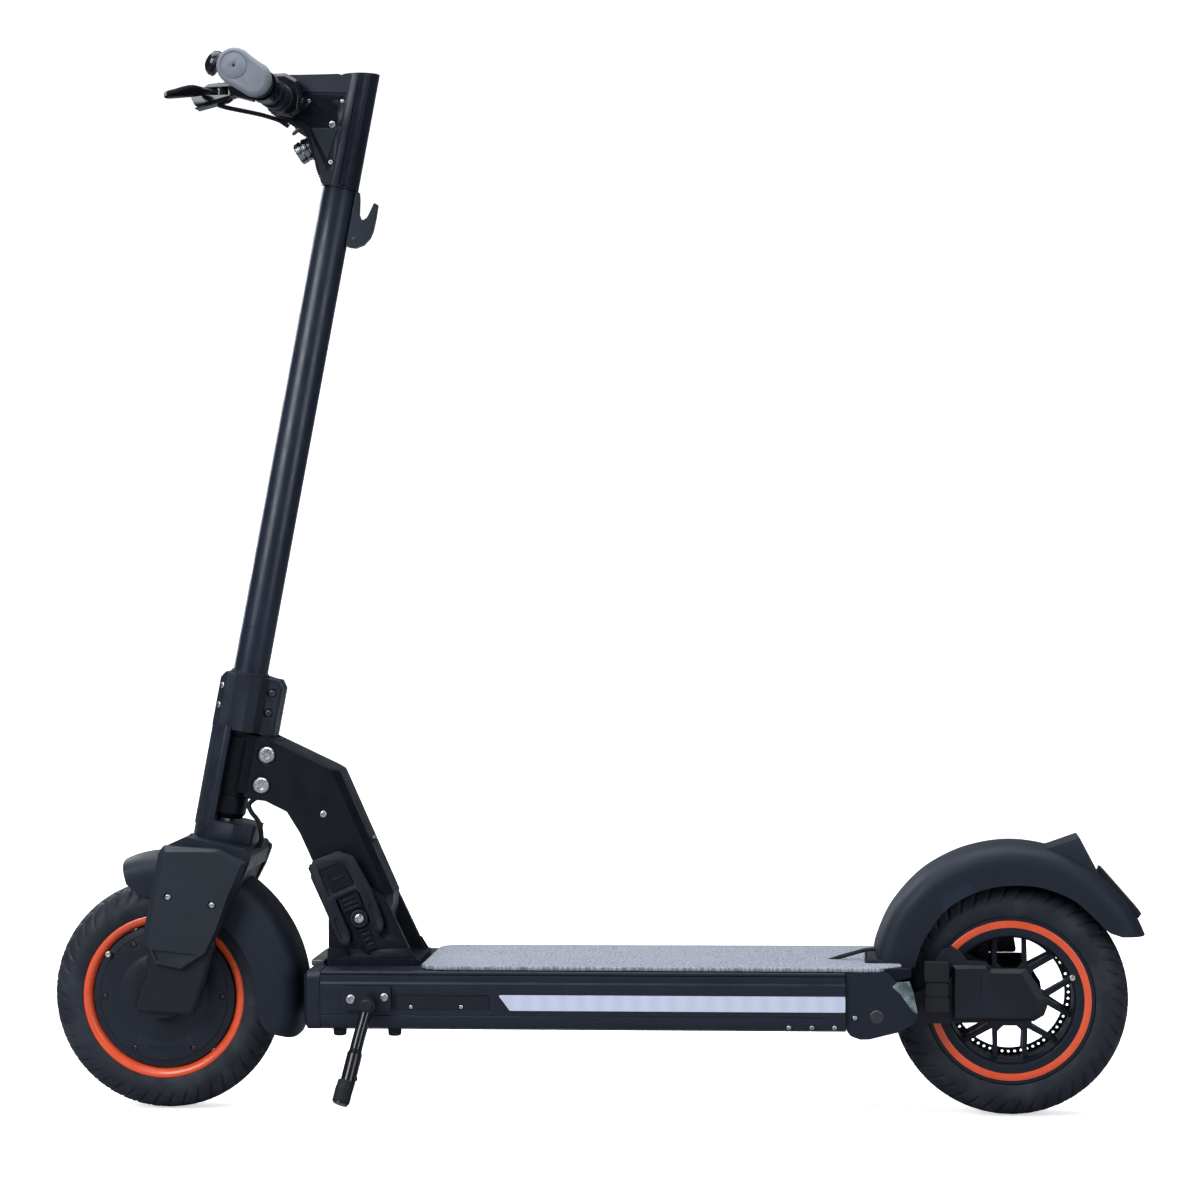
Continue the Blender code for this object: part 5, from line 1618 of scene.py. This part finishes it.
def cables():
    brake = smooth_path([
        (-372, -128, 1091), (-364, -122, 1089), (-352, -90, 1089.5), (-341, -52, 1090.5), (-330, -22, 1089),
        (-322, -10, 1084),
    ], 10)
    piece("brake_cable", "steering", swept(brake, 2.4), RUBBER, (), "fork_cover_left", edge=0)
    conduit = smooth_path([
        (-338, -10, 1102), (-331.2, -10, 1097), (-315.6, -14, 1088.2), (-300.9, -14.5, 1080.5),
        (-294.6, -14.5, 1066.1), (-288.7, -13, 1047.1), (-286.4, -9, 1034.9), (-281.9, -5, 1022.8),
    ], 14)

    def ribbed(f):
        return 4.2 + 0.55 * math.sin(f * 2 * math.pi * 34)

    fine = smooth_path(conduit, 2)
    piece(
        "cable_conduit", "steering", swept(fine, ribbed, 16), RUBBER, (), "fork_cover_left", edge=0,
        crease=60,
    )
    throttle = smooth_path([(-338, 118, 1096), (-334, 80, 1088), (-322, 40, 1086), (-304, 10, 1088)], 10)
    piece("throttle_cable", "steering", swept(throttle, 1.9), RUBBER, (), "fork_cover_left", edge=0)
    loop = mesh_object("neck_cable", swept(smooth_path([
        (-366, -8, 290), (-362, -10, 300), (-364, -13, 318), (-372, -15, 330), (-374, -14, 339),
        (-362, -10, 347), (-346, -6, 349), (-334, -3, 343), (-326, 0, 338),
    ], 10), 2.6))
    loop.data.materials.append(RUBBER)
    for polygon in loop.data.polygons:
        polygon.use_smooth = True
    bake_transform(loop)
    rear = smooth_path(
        [(262, -18, 168), (272, -19, 171.5), (288, -22, 176.5), (304, -24, 181.0), (318, -26, 182)], 10,
    )
    piece("rear_cable", "deck", swept(rear, 2.2), RUBBER, (), "rubber_buffer_left", edge=0)


# ---------------------------------------------------------------- hidden parts, stage and camera


def finish_cad_node(node, material):
    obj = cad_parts[node]
    obj.data.materials.clear()
    obj.data.materials.append(material)


def hidden_parts():
    """Parts inside the shell keep their CAD solids, with their own finishes."""
    finish_cad_node("battery_pack", wrapped_cells("battery_wrap", (0.03, 0.08, 0.22)))
    finish_cad_node("motor_controller", ALLOY)
    for node in ("steering_spindle", "headset_bearing_upper", "headset_bearing_lower"):
        finish_cad_node(node, STEEL)


def area_light(name, place, target, size, energy, colour=(1, 1, 1)):
    data = bpy.data.lights.new(name, "AREA")
    data.shape = "RECTANGLE"
    data.size, data.size_y = size
    data.energy = energy
    data.color = colour
    light = bpy.data.objects.new(name, data)
    light.location = place
    aim = Vector(target) - Vector(place)
    light.rotation_euler = aim.to_track_quat("-Z", "Y").to_euler()
    bpy.context.scene.collection.objects.link(light)


def studio():
    """White paper swept up behind the object. Reflections see a dim room and four soft boxes."""
    bpy.context.scene.view_settings.view_transform = "Standard"
    world = bpy.data.worlds.new("studio")
    bpy.context.scene.world = world
    world.use_nodes = True
    tree = world.node_tree
    background = tree.nodes["Background"]
    background.inputs["Color"].default_value = (1, 1, 1, 1)
    path = tree.nodes.new("ShaderNodeLightPath")
    strength = tree.nodes.new("ShaderNodeMapRange")
    strength.inputs["To Min"].default_value = 0.11
    strength.inputs["To Max"].default_value = 1.0
    tree.links.new(path.outputs["Is Camera Ray"], strength.inputs["Value"])
    tree.links.new(strength.outputs["Result"], background.inputs["Strength"])

    m = Nodes("floor_paper", (0.90, 0.90, 0.91), 0.85)
    seen = m.tree.nodes.new("ShaderNodeLightPath").outputs["Is Camera Ray"]
    paper = m.mix(m.ramp(m.noise(3, 4), 0.0, 1.0), (0.88, 0.88, 0.89), (0.92, 0.92, 0.925))
    m.colour(m.mix(seen, (0.30, 0.31, 0.33), paper))
    m.bump(m.noise(700, 3), 0.00005)
    m.put(m.shader, "Emission Color", (1, 1, 1, 1))
    m.put(m.shader, "Emission Strength", m.ramp(seen, 0.0, 0.62, 0.0, 1.0))
    reach = 12000
    sweep = [(-reach, -0.1), (2500, -0.1)]
    sweep += arc(2500, 1999.9, 2000, 24, -86, -4) + [(4500, 2000), (4500, 6000)]
    back = [(y + 20, z - 20) for y, z in sweep[::-1]]
    floor = shape_up("floor", prism(sweep + back, -reach, reach, "X"), m.material, edge=0)
    area_light("key", (-2.0, -2.8, 2.4), (0, 0, 0.45), (1.6, 2.4), 130, (0.91, 0.955, 1.0))
    area_light("fill", (2.8, -2.4, 1.5), (0, 0, 0.5), (1.4, 2.2), 45, (0.89, 0.95, 1.0))
    area_light("top", (0.0, 0.2, 3.2), (0, 0, 0.2), (3.4, 2.4), 120, (0.91, 0.955, 1.0))
    area_light("rim", (-2.0, 2.2, 1.8), (-0.2, 0, 0.6), (1.2, 2.4), 50, (0.9, 0.95, 1.0))


def camera():
    """The camera stands level with the deck's middle, far off on the left, turned a little to the rear."""
    azimuth, pitch, roll = math.radians(5.51), math.radians(1.40), math.radians(-0.59)
    level = math.cos(pitch)
    forward = Vector((-math.sin(azimuth) * level, math.cos(azimuth) * level, -math.sin(pitch)))
    right = forward.cross(Vector((0, 0, 1))).normalized()
    up = right.cross(forward)
    turned_right = math.cos(roll) * right + math.sin(roll) * up
    turned_up = -math.sin(roll) * right + math.cos(roll) * up
    data = bpy.data.cameras.new("camera")
    data.sensor_width = 36.0
    data.lens = 86.43
    data.clip_end = 100
    obj = bpy.data.objects.new("camera", data)
    basis = Matrix((turned_right, turned_up, -forward)).transposed().to_4x4()
    obj.matrix_world = Matrix.Translation((0.31875, -3.13859, 0.63758)) @ basis
    bpy.context.scene.collection.objects.link(obj)
    bpy.context.scene.camera = obj


def build():
    front_wheel()
    rear_wheel()
    front_fender()
    rear_fender()
    deck_tub()
    deck_front()
    deck_mat()
    side_fittings()
    deck_underside()
    rear_casting()
    suspension()
    caliper()
    fold_bracket()
    fold_latch()
    neck()
    yoke()
    fork()
    fork_covers()
    front_axle()
    head_block()
    head_inserts()
    bar_clamp()
    headlight()
    fold_hook()
    handlebar()
    controls()
    kickstand()
    cables()
    hidden_parts()
    studio()
    camera()


build()
